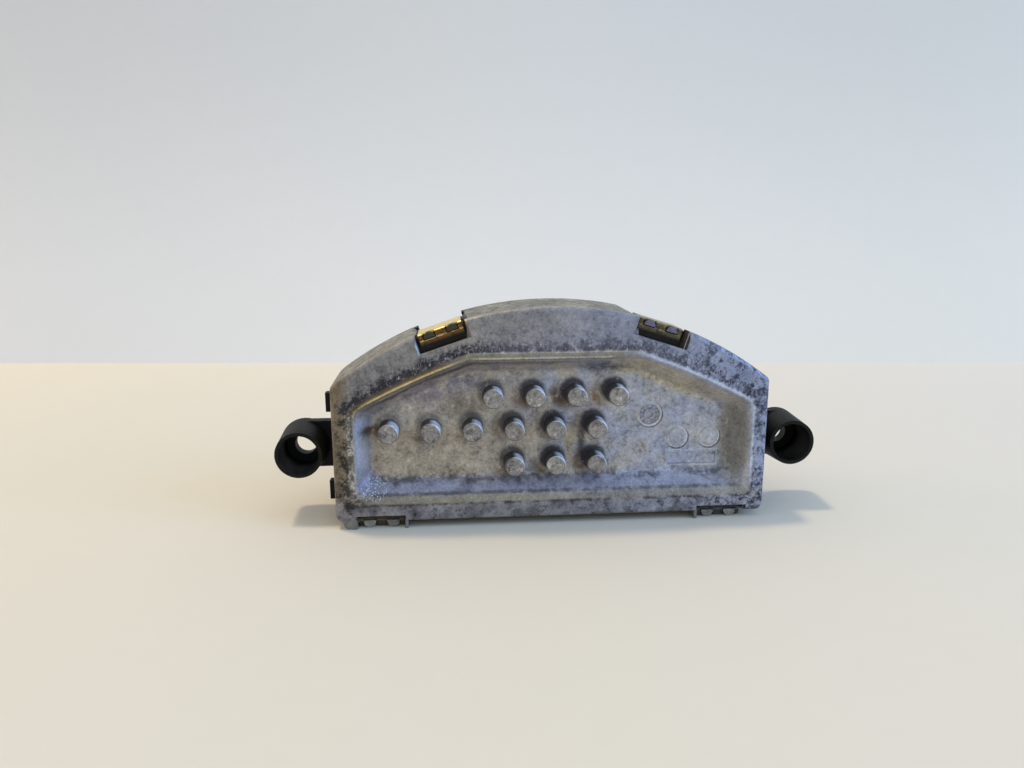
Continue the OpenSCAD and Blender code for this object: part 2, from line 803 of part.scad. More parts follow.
module circuit_board() color(GREEN) placed()
    difference() {
        along_y(board_y, board_back) outline(inside_in + board_edge);
        along_y(board_y - 1, board_back + 1) {
            for (p = post_places) translate(p) circle(d = screw_d + 0.7, $fn = 32);
            for (p = wire_places) translate(p) circle(d = wire_d + 2 * hole_gap, $fn = 20);
            for (side = [-1, 1], k = [-1:1]) translate([side * case_x + k * leg_pitch, leg_z])
                circle(d = leg_w + 2 * hole_gap, $fn = 20);
            for (x = [-motor_half, motor_half]) board_slot(-motor_x + x, blade_w);
            for (x = [-supply_half, supply_half]) board_slot(supply_x + x, blade_w);
            for (x = [-signal_half, signal_half]) board_slot(supply_x + x, signal_w);
            for (x = shunt_feet) board_foot(x);
        }
    }

module board_slot(x, w) translate([x, socket_z])
    square([blade_t + 2 * slot_gap, w * 0.6 + 2 * slot_gap], center = true);

module board_foot(x) translate([x, shunt_z])
    square([shunt_t + 2 * slot_gap, shunt_foot + 2 * slot_gap], center = true);

module board_screws() color(TIN) placed()
    for (p = post_places) translate([p[0], board_back, p[1]]) rotate([-90, 0, 0])
        pan_screw(board_t + post_hole - 0.5);

// A pan-head screw whose head stands on z = 0
module pan_screw(reach) {
    head = screw_d * 0.56;
    slot = screw_d * 0.2;
    difference() {
        rotate_extrude($fn = 40) polygon([
            [0, -reach], [screw_d / 2 - 0.4, -reach], [screw_d / 2, -reach + 0.6], [screw_d / 2, 0],
            [screw_d * 1.05, 0], [screw_d * 1.05, head / 2], [screw_d * 0.8, head * 0.93], [0, head]
        ]);
        for (a = [0, 90]) rotate(a)
            translate([-slot / 2, -screw_d * 0.45, head * 0.57]) cube([slot, screw_d * 0.9, head]);
    }
}

// A transistor's moulded body, with its tab pocket on the cooled side
module transistor_case(side)
    translate([side * case_x, floor_y + pad_t, case_z]) difference() {
        translate([-case_w / 2, 0, 0]) rotate([90, 0, 90]) linear_extrude(case_w)
            polygon([
                [0, 0], [case_t - 0.6, 0], [case_t, 0.6], [case_t, case_h - 0.6],
                [case_t - 0.6, case_h], [0, case_h]
            ]);
        translate([-case_w / 2 + 1, -eps, 2]) cube([case_w - 2, tab_t + eps, case_h - 5]);
        translate([0, -1, tab_z]) rotate([-90, 0, 0]) cylinder(h = case_t + 2, d = tab_hole, $fn = 32);
    }

// The copper tab and the three legs, which turn back into the board
module transistor_frame(side)
    translate([side * case_x, floor_y + pad_t, case_z]) {
        difference() {
            translate([-case_w / 2 + 1, 0, 2]) cube([case_w - 2, tab_t, case_h - 5]);
            translate([0, -1, tab_z]) rotate([-90, 0, 0]) cylinder(h = tab_t + 2, d = tab_hole, $fn = 32);
        }
        for (k = [-1:1]) translate([k * leg_pitch - leg_w / 2, 0, 0]) {
            leg_y = case_t * 0.44;
            translate([0, leg_y, case_h]) cube([leg_w, leg_t, leg_run + leg_t / 2]);
            translate([0, leg_y, case_h + leg_run - leg_t / 2])
                cube([leg_w, board_back + 0.6 - floor_y - pad_t - leg_y, leg_t]);
        }
    }

module transistor_left() color(BLACK) placed() transistor_case(-1);
module transistor_right() color(BLACK) placed() transistor_case(1);
module lead_frame_left() color(COPPER) placed() transistor_frame(-1);
module lead_frame_right() color(COPPER) placed() transistor_frame(1);

module thermal_pad(side)
    translate([side * case_x - case_w / 2 - 0.4, floor_y, case_z - 0.3])
        cube([case_w + 0.8, pad_t, case_h + 0.6]);

module thermal_pad_left() color("lightgray") placed() thermal_pad(-1);
module thermal_pad_right() color("lightgray") placed() thermal_pad(1);

// A leaf across both transistors, with its ends turned up
module clamp_spring() color(TIN) placed()
    translate([0, spring_y, spring_z]) difference() {
        reach = case_x + case_w * 0.3;
        translate([0, 0, -spring_w / 2]) linear_extrude(spring_w) {
            translate([-reach, 0]) square([2 * reach, spring_t]);
            for (s = [-1, 1]) translate([s * reach - spring_t / 2, 0]) square([spring_t, spring_end]);
        }
        rotate([-90, 0, 0]) translate([0, 0, -1])
            cylinder(h = spring_t + 2, d = screw_d + 2 * hole_gap, $fn = 32);
    }

module clamp_screw() color(TIN) placed()
    translate([0, spring_y + spring_t, spring_z]) rotate([-90, 0, 0])
        pan_screw(spring_t + boss_hole - 0.2);

// An electrolytic capacitor along X: a crimped can with two wires into the board
module can(d, l, x, z, out) {
    r = d / 2;
    translate([x, board_back + r, z]) rotate([0, out * 90, 0]) rotate_extrude($fn = 64)
        polygon([
            [0, -l / 2], [r - 0.6, -l / 2], [r, -l / 2 + 0.6], [r, l / 2 - 3], [r - 0.5, l / 2 - 2.6],
            [r - 0.5, l / 2 - 2.2], [r, l / 2 - 1.8], [r, l / 2 - 0.4], [r - 0.4, l / 2],
            [r - 1, l / 2], [r - 1, l / 2 - 0.5], [0, l / 2 - 0.5]
        ]);
}

// A wire from a component's end down into the board
module wire(x0, x1, y, z) {
    translate([min(x0, x1), y, z]) rotate([0, 90, 0]) cylinder(h = abs(x1 - x0), d = wire_d, $fn = 20);
    translate([x1, y, z]) sphere(d = wire_d, $fn = 20);
    translate([x1, board_y - 0.8, z]) rotate([-90, 0, 0])
        cylinder(h = y - board_y + 0.8, d = wire_d, $fn = 20);
}

module supply_capacitor() color("midnightblue") placed() {
    can(cap_d, cap_len, cap_x, cap_z, 1);
    end = cap_x + cap_len / 2;
    for (z = [-cap_pitch, cap_pitch])
        wire(end - 0.7, end + wire_out, board_back + cap_d / 2, cap_z + z);
}

module filter_capacitor() color("midnightblue") placed() {
    can(filter_d, filter_len, filter_x, filter_z, -1);
    end = filter_x - filter_len / 2;
    for (z = [-filter_pitch, filter_pitch])
        wire(end + 0.7, end - wire_out, board_back + filter_d / 2, filter_z + z);
}

// The ferrite bobbin of the choke, along X, on two solder pins
module choke_core() color("dimgray") placed() {
    h = choke_len / 2;
    r = choke_d / 2;
    translate([choke_x, board_back + r, choke_z]) rotate([0, 90, 0]) rotate_extrude($fn = 64)
        polygon([
            [0, -h], [r, -h], [r, choke_cheek - h], [choke_waist, choke_cheek - h],
            [choke_waist, h - choke_cheek], [r, h - choke_cheek], [r, h], [0, h]
        ]);
    for (s = [-1, 1])
        translate([choke_x + s * (h - 1), board_y - 0.8, choke_z]) rotate([-90, 0, 0])
            cylinder(h = board_t + 1.8, d = wire_d, $fn = 20);
}

// The choke's copper turns, as ridges round its waist
module choke_winding() color(COPPER) placed() {
    room = choke_len - 2 * choke_cheek - 0.2;
    turns = 10;
    pitch = room / turns;
    top = choke_d / 2 - 0.9;
    translate([choke_x, board_back + choke_d / 2, choke_z]) rotate([0, 90, 0]) rotate_extrude($fn = 48) {
        translate([choke_waist + 0.05, -room / 2]) square([top - choke_waist - 0.05, room]);
        for (k = [0:turns - 1])
            translate([top, -room / 2 + (k + 0.5) * pitch]) circle(d = pitch, $fn = 20);
    }
}

module shunt() color(TIN) placed()
    translate([shunt_x, 0, shunt_z]) {
        translate([-shunt_len / 2, board_back + 1, -shunt_w / 2]) cube([shunt_len, shunt_t, shunt_w]);
        for (s = [-1, 1]) translate([(s * (shunt_len - shunt_t) - shunt_t) / 2, 0, 0]) {
            translate([0, board_back, -shunt_w / 2]) cube([shunt_t, 1 + eps, shunt_w]);
            translate([0, board_y - 0.4, -shunt_foot / 2]) cube([shunt_t, board_t + 0.4 + eps, shunt_foot]);
        }
    }

// A control chip with eight gull-wing legs on each long side
module control_chip() color(BLACK) placed() {
    translate([chip_x - chip_size[0] / 2, board_back + 0.2, chip_z - chip_size[2] / 2]) cube(chip_size);
    for (s = [-1, 1], k = [0:7])
        translate([chip_x + (k - 3.5) * chip_pitch - 0.2, 0, chip_z]) {
            translate([0, board_back + 0.8, s > 0 ? 1.9 : -2.7]) cube([0.4, 0.2, 0.8]);
            translate([0, board_back, s > 0 ? 2.5 : -2.7]) cube([0.4, 1, 0.2]);
            translate([0, board_back, s > 0 ? 2.5 : -3.2]) cube([0.4, 0.2, 0.7]);
        }
}

// A disc-shaped surge suppressor lying on the board
module suppressor_disc() color("steelblue") placed()
    translate([0, board_back, suppressor_z]) rotate([-90, 0, 0]) rotate_extrude($fn = 48)
        polygon([
            [0, 0], [disc_suppressor / 2 - 1, 0], [disc_suppressor / 2 - 0.3, 0.6],
            [disc_suppressor / 2 - 0.3, suppressor_t - 0.6], [disc_suppressor / 2 - 1, suppressor_t],
            [0, suppressor_t]
        ]);

// Small ceramic capacitors in a row above the signal pins
module chip_capacitors() color("tan") placed()
    for (k = [0:3]) translate([small_place[0] + k * small_pitch, board_back, small_place[1]]) cube(small_size);

// A blade that stands on the board with its shoulders and runs out into its socket
module blade(x, w)
    translate([x - blade_t / 2, 0, socket_z]) rotate([90, 0, 90]) linear_extrude(blade_t) {
        tip = mouth_y - blade_short;
        polygon([
            [board_y, -w * 0.3], [board_back, -w * 0.3], [board_back, -w / 2 - 0.6],
            [board_back + 2.4, -w / 2 - 0.6], [board_back + 2.4, -w / 2], [tip - 1.4, -w / 2],
            [tip, -w / 2 + 1], [tip, w / 2 - 1], [tip - 1.4, w / 2], [board_back + 2.4, w / 2],
            [board_back + 2.4, w / 2 + 0.6], [board_back, w / 2 + 0.6], [board_back, w * 0.3],
            [board_y, w * 0.3]
        ]);
    }

module motor_blade_plus() color(TIN) placed() blade(-motor_x - motor_half, blade_w);
module motor_blade_minus() color(TIN) placed() blade(-motor_x + motor_half, blade_w);
module supply_blade_plus() color(TIN) placed() blade(supply_x + supply_half, blade_w);
module supply_blade_ground() color(TIN) placed() blade(supply_x - supply_half, blade_w);
module signal_pins() color(TIN) placed()
    for (s = [-1, 1]) blade(supply_x + s * signal_half, signal_w);

heat_sink();
housing();
clip_top_left();
clip_top_right();
clip_bottom_left();
clip_bottom_right();
circuit_board();
board_screws();
transistor_left();
transistor_right();
lead_frame_left();
lead_frame_right();
thermal_pad_left();
thermal_pad_right();
clamp_spring();
clamp_screw();
supply_capacitor();
filter_capacitor();
choke_core();
choke_winding();
shunt();
control_chip();
suppressor_disc();
chip_capacitors();
motor_blade_plus();
motor_blade_minus();
supply_blade_plus();
supply_blade_ground();
signal_pins();
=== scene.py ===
# %% [markdown]
# # A blower motor control unit
#
# In a car's heater, this unit sets the speed of the blower motor. Its die-cast tray
# sits in the air duct, so that the moving air cools the short pins in it. Behind the
# tray is a black plastic housing with two screw ears and two plug sockets.
#
# The CAD model holds every solid at full size, and this lesson gives it its looks:
# a dull casting with stains round its pins, rusty gold clips and matt black plastic.
# Everything is in metres, and MM turns the drawing's millimetres into them.

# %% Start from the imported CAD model
import json
import math

import bmesh
import bpy
from mathutils import Matrix, Vector

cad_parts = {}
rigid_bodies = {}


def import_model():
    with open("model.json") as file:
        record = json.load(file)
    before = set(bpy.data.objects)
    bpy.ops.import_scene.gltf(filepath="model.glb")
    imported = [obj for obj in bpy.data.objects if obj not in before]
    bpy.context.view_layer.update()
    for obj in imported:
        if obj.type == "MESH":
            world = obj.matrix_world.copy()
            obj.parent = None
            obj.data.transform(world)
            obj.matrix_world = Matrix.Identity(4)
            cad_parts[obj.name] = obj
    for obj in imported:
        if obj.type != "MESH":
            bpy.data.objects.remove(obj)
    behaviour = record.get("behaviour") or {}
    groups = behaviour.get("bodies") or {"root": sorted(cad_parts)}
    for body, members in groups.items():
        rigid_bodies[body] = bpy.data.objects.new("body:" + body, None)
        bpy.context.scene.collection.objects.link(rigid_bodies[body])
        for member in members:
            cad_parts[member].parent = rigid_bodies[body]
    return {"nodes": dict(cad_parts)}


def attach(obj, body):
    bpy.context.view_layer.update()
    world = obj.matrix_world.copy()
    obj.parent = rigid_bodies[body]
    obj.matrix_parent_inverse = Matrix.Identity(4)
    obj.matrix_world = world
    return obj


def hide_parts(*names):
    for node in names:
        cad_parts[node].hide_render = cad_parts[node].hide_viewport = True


MM = 0.001

for old in list(bpy.data.objects):
    bpy.data.objects.remove(old)

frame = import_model()
bpy.context.view_layer.update()

# %% [markdown]
# ## The camera
#
# A part is judged against a picture, so the camera has to stand where the picture was
# taken. Its place, turn and lens were worked out from known points of the unit: the
# two ear holes, the corners of the tray and the pins. It stands only 20 cm away, and
# that is why the right ear looks smaller than the left one.

# %% Camera
FOCAL_PX = 786.218
IMAGE_W = 1024
SENSOR = 36.0
CAMERA_PLACE = (-0.023346, -0.199792, 0.072285)
YAW, PITCH, ROLL = (math.radians(a) for a in (-4.304, 11.872, 0.286))

turn = Matrix.Rotation(YAW, 3, "Z")
right = turn @ Vector((1, 0, 0))
forward = turn @ Vector((0, math.cos(PITCH), -math.sin(PITCH)))
down = turn @ Vector((0, -math.sin(PITCH), -math.cos(PITCH)))
across = math.cos(ROLL) * right + math.sin(ROLL) * down
upward = math.sin(ROLL) * right - math.cos(ROLL) * down

camera_data = bpy.data.cameras.new("camera")
camera_data.sensor_width = SENSOR
camera_data.lens = FOCAL_PX / IMAGE_W * SENSOR
camera_data.clip_start = 0.01
camera = bpy.data.objects.new("camera", camera_data)
facing = Matrix((across, upward, -forward)).transposed().to_4x4()
camera.matrix_world = Matrix.Translation(CAMERA_PLACE) @ facing
bpy.context.scene.collection.objects.link(camera)
bpy.context.scene.camera = camera
print("lens in mm:", round(camera_data.lens, 2))

# %% [markdown]
# ## A short way to write shaders
#
# A shader is a net of nodes, and long nets are hard to read in a script. Here a socket
# is wrapped in a small class whose plus, minus and times signs add Math nodes, so a
# mask reads like a formula. Every other node comes from one method, which takes the
# node's type, its settings and the values of its sockets.


# %% Sockets that can be added and multiplied
class Sock:
    """An output socket that works with Python's own signs."""

    def __init__(self, finish, socket):
        self.finish = finish
        self.socket = socket

    def maths(self, operation, *others):
        return self.finish.maths(operation, self, *others)

    def __add__(self, other):
        return self.maths("ADD", other)

    __radd__ = __add__

    def __mul__(self, other):
        return self.maths("MULTIPLY", other)

    __rmul__ = __mul__

    def __sub__(self, other):
        return self.maths("SUBTRACT", other)

    def __rsub__(self, other):
        return self.finish.maths("SUBTRACT", other, self)

    def __truediv__(self, other):
        return self.maths("DIVIDE", other)

    def __abs__(self):
        return self.maths("ABSOLUTE")

    def least(self, other):
        return self.maths("MINIMUM", other)

    def most(self, other):
        return self.maths("MAXIMUM", other)

    def rise(self, start, end):
        """0 up to start, 1 from end on, and a smooth rise between them.

        It falls where start is the larger.
        """
        if start > end:
            return 1 - self.rise(end, start)
        settings = {"interpolation_type": "SMOOTHSTEP"}
        values = {"Value": self, "From Min": start, "From Max": end}
        return self.finish.node("ShaderNodeMapRange", settings, values)

    def band(self, start, end, soft):
        """1 between start and end, with soft edges outside them."""
        return self.rise(start - soft, start) * self.rise(end + soft, end)


# %% A material as a net of nodes
def ink(red, green, blue):
    """A colour as a paint program gives it, from 0 to 255, for a shader."""
    parts = [c / 255 for c in (red, green, blue)]
    return [c / 12.92 if c <= 0.04045 else ((c + 0.055) / 1.055) ** 2.4 for c in parts] + [1.0]


class Finish:
    """One material of this unit. All its nodes come from node()."""

    def __init__(self, name):
        self.material = bpy.data.materials.new(name)
        self.material.use_nodes = True
        self.tree = self.material.node_tree
        self.tree.nodes.clear()
        self.point = self.node("ShaderNodeTexCoord", out="Object")

    def node(self, kind, settings=None, values=None, out=0):
        made = self.tree.nodes.new(kind)
        for key, value in (settings or {}).items():
            setattr(made, key, value)
        for key, value in (values or {}).items():
            if isinstance(value, Sock):
                self.tree.links.new(value.socket, made.inputs[key])
            else:
                made.inputs[key].default_value = value
        return Sock(self, made.outputs[out])

    def maths(self, operation, *terms):
        return self.node("ShaderNodeMath", {"operation": operation}, dict(enumerate(terms)))

    def vector(self, operation, *terms, out=0):
        settings = {"operation": operation}
        return self.node("ShaderNodeVectorMath", settings, dict(enumerate(terms)), out)

    def axes(self):
        """X, Y and Z of the shaded point, in millimetres."""
        return [
            self.node("ShaderNodeSeparateXYZ", values={"Vector": self.point}, out=axis) / MM
            for axis in "XYZ"
        ]

    def noise(self, size_mm, detail=3.0, stretch=None, seed=0.0, rough=0.5):
        """Soft noise around 0.5, with lumps of about size_mm.

        Stretch draws it out along X, Y or Z.
        """
        point = self.point
        if stretch:
            point = self.vector("MULTIPLY", point, [1 / s for s in stretch])
        values = {"Vector": point, "W": seed, "Scale": 1 / (size_mm * MM)}
        values.update({"Detail": detail, "Roughness": rough})
        return self.node("ShaderNodeTexNoise", {"noise_dimensions": "4D"}, values)

    def mix(self, under, over, mask):
        """Colour over laid on colour under where mask is 1."""
        settings = {"data_type": "RGBA"}
        return self.node("ShaderNodeMix", settings, {0: mask, 6: under, 7: over}, out=2)

    def paint(self, colour, coats):
        """Coats of colour, each with its mask, laid one after the other."""
        for shade, mask in coats:
            colour = self.mix(colour, shade, mask)
        return colour

    def tone(self, colour, amount):
        """Colour made lighter or darker by a factor that may vary over the surface."""
        grey = self.node("ShaderNodeCombineColor", values={0: amount, 1: amount, 2: amount})
        settings = {"data_type": "RGBA", "blend_type": "MULTIPLY"}
        return self.node("ShaderNodeMix", settings, {0: 1.0, 6: colour, 7: grey}, out=2)

    def bump(self, height, depth_mm, under=None):
        """A normal from a height of 0 to 1 that stands for depth_mm."""
        values = {"Height": height, "Distance": depth_mm * MM, "Strength": 1.0}
        if under:
            values["Normal"] = under
        return self.node("ShaderNodeBump", values=values)

    def done(
        self, colour, roughness, metallic=0.0, normal=None, specular=0.5, glow=None, power=0.0
    ):
        """Ends the net in a Principled shader. Glow is the colour it shines with by itself."""
        values = {
            "Base Color": colour,
            "Roughness": roughness,
            "Metallic": metallic,
            "Specular IOR Level": specular,
        }
        if normal:
            values["Normal"] = normal
        if glow:
            values.update({"Emission Color": glow, "Emission Strength": power})
        shader = self.node("ShaderNodeBsdfPrincipled", values=values)
        out = self.tree.nodes.new("ShaderNodeOutputMaterial")
        self.tree.links.new(shader.socket, out.inputs["Surface"])
        return self.material


# %% [markdown]
# ## Floor, wall and lamps
#
# The unit stands on a pale table in front of a pale wall. A plain floor keeps its
# shadow, which tells the eye that it stands there. A warm lamp hangs two and a half
# metres up, on the left and behind the unit. From so far away its light hardly spreads,
# so the shadows stay nearly as wide as what throws them. A cool window on the right and
# a faint warm lamp on the left colour them. The wall glows a little by itself, because
# the warm lamp stands behind it.


# %% Floor and wall
VIEW_HALF = 240


def plane(name, corners, material):
    mesh = bpy.data.meshes.new(name)
    mesh.from_pydata(corners, [], [(0, 1, 2, 3)])
    mesh.materials.append(material)
    thing = bpy.data.objects.new(name, mesh)
    bpy.context.scene.collection.objects.link(thing)
    return thing


def stage_finish(name, left, middle, right_side, power=0.0):
    """Matt paint in three tints from left to right, whose differences are painted light. Power
    makes it glow, most of all low down.
    """
    f = Finish(name)
    x, _, z = f.axes()
    colour = f.mix(f.mix(left, middle, x.rise(-VIEW_HALF, 0)), right_side, x.rise(0, VIEW_HALF))
    grain = f.noise(6.0, 2.0)
    colour = f.tone(colour, 0.99 + 0.02 * grain)
    glow = f.tone(colour, z.rise(190, 20) * 0.8 + 0.2) if power else None
    return f.done(colour, 0.9, glow=glow, power=power)


WALL_Y = 0.1953
WALL_SLANT = -0.1028
FAR = 1.6
wall_line = [(-FAR, WALL_Y - WALL_SLANT * FAR), (FAR, WALL_Y + WALL_SLANT * FAR)]
# The table is painted a little warmer on the left and cooler on the right, and the wall lighter in
# the middle: painted light.
plane(
    "table",
    [(-FAR, -FAR, 0), (FAR, -FAR, 0), (*wall_line[1], 0), (*wall_line[0], 0)],
    stage_finish("table_top", ink(226, 220, 205), ink(225, 219, 207), ink(221, 216, 209)),
)
wall_tints = (ink(219, 219, 221), ink(230, 229, 228), ink(223, 221, 215))
wall = plane(
    "wall",
    [(*wall_line[0], 0), (*wall_line[1], 0), (*wall_line[1], FAR), (*wall_line[0], FAR)],
    stage_finish("wall_paint_and_glow", *wall_tints, power=0.215),
)
# The warm lamp hangs behind the wall and lights the back of the table through it
wall.visible_shadow = False
print("wall behind the unit's middle in mm:", round(WALL_Y / MM, 1))


# %% Lamps
def lamp(name, place, size, power, colour):
    """A rectangular lamp that looks at the foot of the unit."""
    data = bpy.data.lights.new(name, "AREA")
    data.shape = "RECTANGLE"
    data.size, data.size_y = size
    data.energy = power
    data.color = colour
    thing = bpy.data.objects.new(name, data)
    look = (-Vector(place)).to_track_quat("-Z", "Y").to_matrix().to_4x4()
    thing.matrix_world = Matrix.Translation(place) @ look
    bpy.context.scene.collection.objects.link(thing)


lamp("warm_lamp", (-0.64, 0.354, 2.45), (0.27, 0.245), 21.4, (1.0, 0.82, 0.56))
lamp("window", (0.9, -0.35, 0.45), (0.5, 0.5), 4.5, (0.25, 0.5, 1.0))
lamp("side_lamp", (-0.9, 0.12, 0.4), (0.4, 0.4), 1.5, (1.0, 0.6, 0.3))
world = bpy.data.worlds.new("room")
world.use_nodes = True
room = world.node_tree.nodes["Background"].inputs
room["Color"].default_value = (0.86, 0.96, 1.0, 1.0)
room["Strength"].default_value = 0.68
bpy.context.scene.world = world
bpy.context.scene.view_settings.view_transform = "Standard"

# %% [markdown]
# ## Where on the casting
#
# Dirt and painted shade lie in certain places: in the crease of the tray's lip and round
# the pins, and dirt also in the lower left corner. The masks below therefore start from
# distances in millimetres that come from the drawing: how far a point is inside the tray's
# mouth, how far from the casting's outline, and how far from the nearest pin.

# %% Distances on the casting
FRONT_Y = -21.35
FOOT = 1.7
HALF_W, ARC_R, ARC_Z = 52.6, 85.0, -33.6
MOUTH_HALF, MOUTH_LOW, MOUTH_TOP = 48.6, 4.3, 40.4
BOW_R, BOW_X, BOW_Z = 174.8, -35.9, -125.2
PIN_PITCH = 9.9
PIN_ROWS = [(-39.0, 21.5, 6), (-14.25, 29.4, 4), (-9.3, 12.8, 3)]


class Places:
    """Distances in mm that tell where on the casting a point lies."""

    def __init__(self, f):
        self.f = f
        self.x, y, z = f.axes()
        self.z = z - FOOT
        self.depth = y - FRONT_Y
        self.flat = f.vector("MULTIPLY_ADD", f.point, [1 / MM, 0, 1 / MM], [0, 0, -FOOT])
        side = abs(self.x)
        bow = BOW_R - self.away(BOW_X, BOW_Z, f.vector("ABSOLUTE", self.flat))
        sides = (MOUTH_HALF - side).maths("SMOOTH_MIN", self.z - MOUTH_LOW, 3.0)
        self.inside = sides.maths("SMOOTH_MIN", bow, 3.0).least(MOUTH_TOP - self.z)
        self.edge = (HALF_W - side).least(self.z).least(ARC_R - self.away(0, ARC_Z))

    def away(self, x, z, start=None):
        """Distance from a place on the face."""
        return self.f.vector("DISTANCE", start or self.flat, [x, 0, z], out=1)

    def oval(self, x, z, wide, high, soft=0.5):
        """1 inside an oval on the face, falling to 0 at its rim."""
        gap = self.f.vector("SUBTRACT", self.flat, [x, 0, z])
        gap = self.f.vector("MULTIPLY", gap, [1 / wide, 0, 1 / high])
        return self.f.vector("LENGTH", gap, out=1).rise(1.0, 1.0 - soft)

    def ring(self, x, z, radius, width, soft=0.2):
        """1 on a circle drawn on the face."""
        return abs(self.away(x, z) - radius).rise(width + soft, width)

    def frame(self, x, z, wide, high, width, soft=0.15):
        """1 on the outline of a rectangle drawn on the face."""
        gap = (abs(self.x - x) - wide / 2).most(abs(self.z - z) - high / 2)
        return abs(gap).rise(width + soft, width)

    def facing(self, x, y, z):
        """1 where the surface looks in a direction, 0 where it looks across it or away."""
        normal = self.f.node("ShaderNodeNewGeometry", out="Normal")
        return self.f.vector("DOT_PRODUCT", normal, Vector((x, y, z)).normalized(), out=1)

    def pin(self, shift_x=0.0, shift_z=0.0):
        """Distance from the nearest pin's middle, after all the middles are moved by a shift."""
        nearest = None
        for first, height, count in PIN_ROWS:
            run = self.x - (first + shift_x)
            step = (run / PIN_PITCH).maths("ROUND").most(0).least(count - 1)
            across, up = run - step * PIN_PITCH, self.z - (height + shift_z)
            gap = self.f.node("ShaderNodeCombineXYZ", values={0: across, 1: up})
            away = self.f.vector("LENGTH", gap, out=1)
            nearest = nearest.least(away) if nearest else away
        return nearest


# %% [markdown]
# ## Noises and areas of the casting
#
# Five noises of different sizes break up the edges of the dirt, so that nothing ends in
# a clean line. The masks of the rim, the lip, the slopes and the floor are made once
# here, and the coats further down use them by name.


# %% Noises and areas
class Casting(Places):
    """The places on the casting, with its noises, its areas, and its dirt and painted shade as
    masks.
    """

    def __init__(self, f):
        super().__init__(f)
        x, z, depth, edge = self.x, self.z, self.depth, self.edge
        self.cloud = f.noise(9.0, 4.0)
        self.patch = f.noise(4.5, 4.0, seed=31.0, rough=0.55)
        self.spots = f.noise(2.2, 5.0, seed=2.0, rough=0.62)
        self.fine = f.noise(0.8, 4.0, seed=5.0, rough=0.65)
        self.grit = f.noise(0.45, 3.0, seed=20.0, rough=0.6)
        self.blots = self.spots * 0.45 + self.fine * 0.35 + self.grit * 0.2

        # The distance inside the mouth, roughened a little for the lip and more for dirt
        self.crisp = self.inside + (self.fine - 0.5) * 0.4
        self.ragged = self.inside + (self.patch - 0.5) * 2.4 + (self.spots - 0.5) * 2.0
        self.near_lip = self.inside.rise(-3.8, -0.4)

        self.rim = depth.rise(0.9, 0.4) * self.inside.rise(0.4, -0.2)
        self.bent = depth.rise(2.6, 1.4)
        self.lip = self.crisp.band(0.1, 1.9, 0.4) * self.bent
        self.slope = self.ragged.band(1.9, 4.8, 1.2) * depth.rise(0.4, 1.2)
        self.floor = depth.rise(4.2, 4.9)
        self.upper = z.rise(24, 30) * self.inside.rise(-8, 0)
        self.low = z.rise(11, 8)
        self.skin = (depth.rise(0.6, 1.4) * edge.rise(1.6, 0.8)).most(edge.rise(0.9, 0.3))

        # Stains left of the pins; dark halos above them, partly dirt and partly painted shade;
        # white bloom in the lower left corner
        wet = (self.cloud * 0.7 + self.patch * 0.5 + x / 500).rise(0.5, 0.68)
        stained = self.pin(-2.1, -0.2) + (self.spots - 0.5) * 3 + (self.fine - 0.5)
        self.stain = stained.rise(4.6, 2.2) * self.floor * wet
        shaded = self.pin(-0.4, 0.75) + (self.spots - 0.5) * 1.8 + (self.fine - 0.5)
        self.dirt_and_shade_halo = shaded.rise(3.7, 2.5) * depth.rise(2.2, 3.6) * (0.4 + 0.5 * x.rise(-34, 2))
        corner = self.oval(-43.5, 7.5, 4.5, 4.0) + self.oval(-46.0, 14, 2.6, 9) * 0.6
        crumbly = (self.fine * 0.5 + self.grit * 0.6).rise(0.6, 0.68)
        self.bloom = crumbly * corner.least(1) * self.inside.rise(1.5, 2.5)


# %% [markdown]
# ## Coats on the casting
#
# A coat is a colour with a mask. Each function below returns the coats of one area, and
# they go on from the metal outwards: the tints of the rim, the slopes and the floor, the
# lip, the outer skin, the dirt and the pins' halos, the marks, the pins, the clip pockets
# and at last the white bloom. Many coats are painted reflections, highlights or shade
# rather than the metal's own colour. LAYERS, further down, holds that order.


# %% Rim, slopes and floor
def rim_coats(c):
    x, z, rim, upper = c.x, c.z, c.rim, c.upper
    return [
        (ink(138, 134, 134), rim * 0.85),
        (ink(116, 113, 116), rim * x.rise(-16, -32) * upper * 0.65),
        (ink(118, 119, 138), rim * x.band(-14, 12, 6) * upper * 0.35),
        # Bluish toward the right, in an oval at the upper right and lighter at the lower right: a
        # painted reflection of the cool light from the right.
        (ink(142, 151, 180), rim * x.rise(-20, 44) * 0.85),
        (ink(116, 126, 152), rim * c.oval(44.5, 33.0, 5.5, 5.0, 0.9) * 0.8),
        (ink(116, 100, 74), rim * x.rise(-46.5, -50) * 0.85),
        (ink(136, 134, 142), rim * z.rise(8, 3) * 0.7),
        (ink(172, 174, 194), rim * z.rise(8, 3) * x.rise(8, 30) * 0.5),
    ]


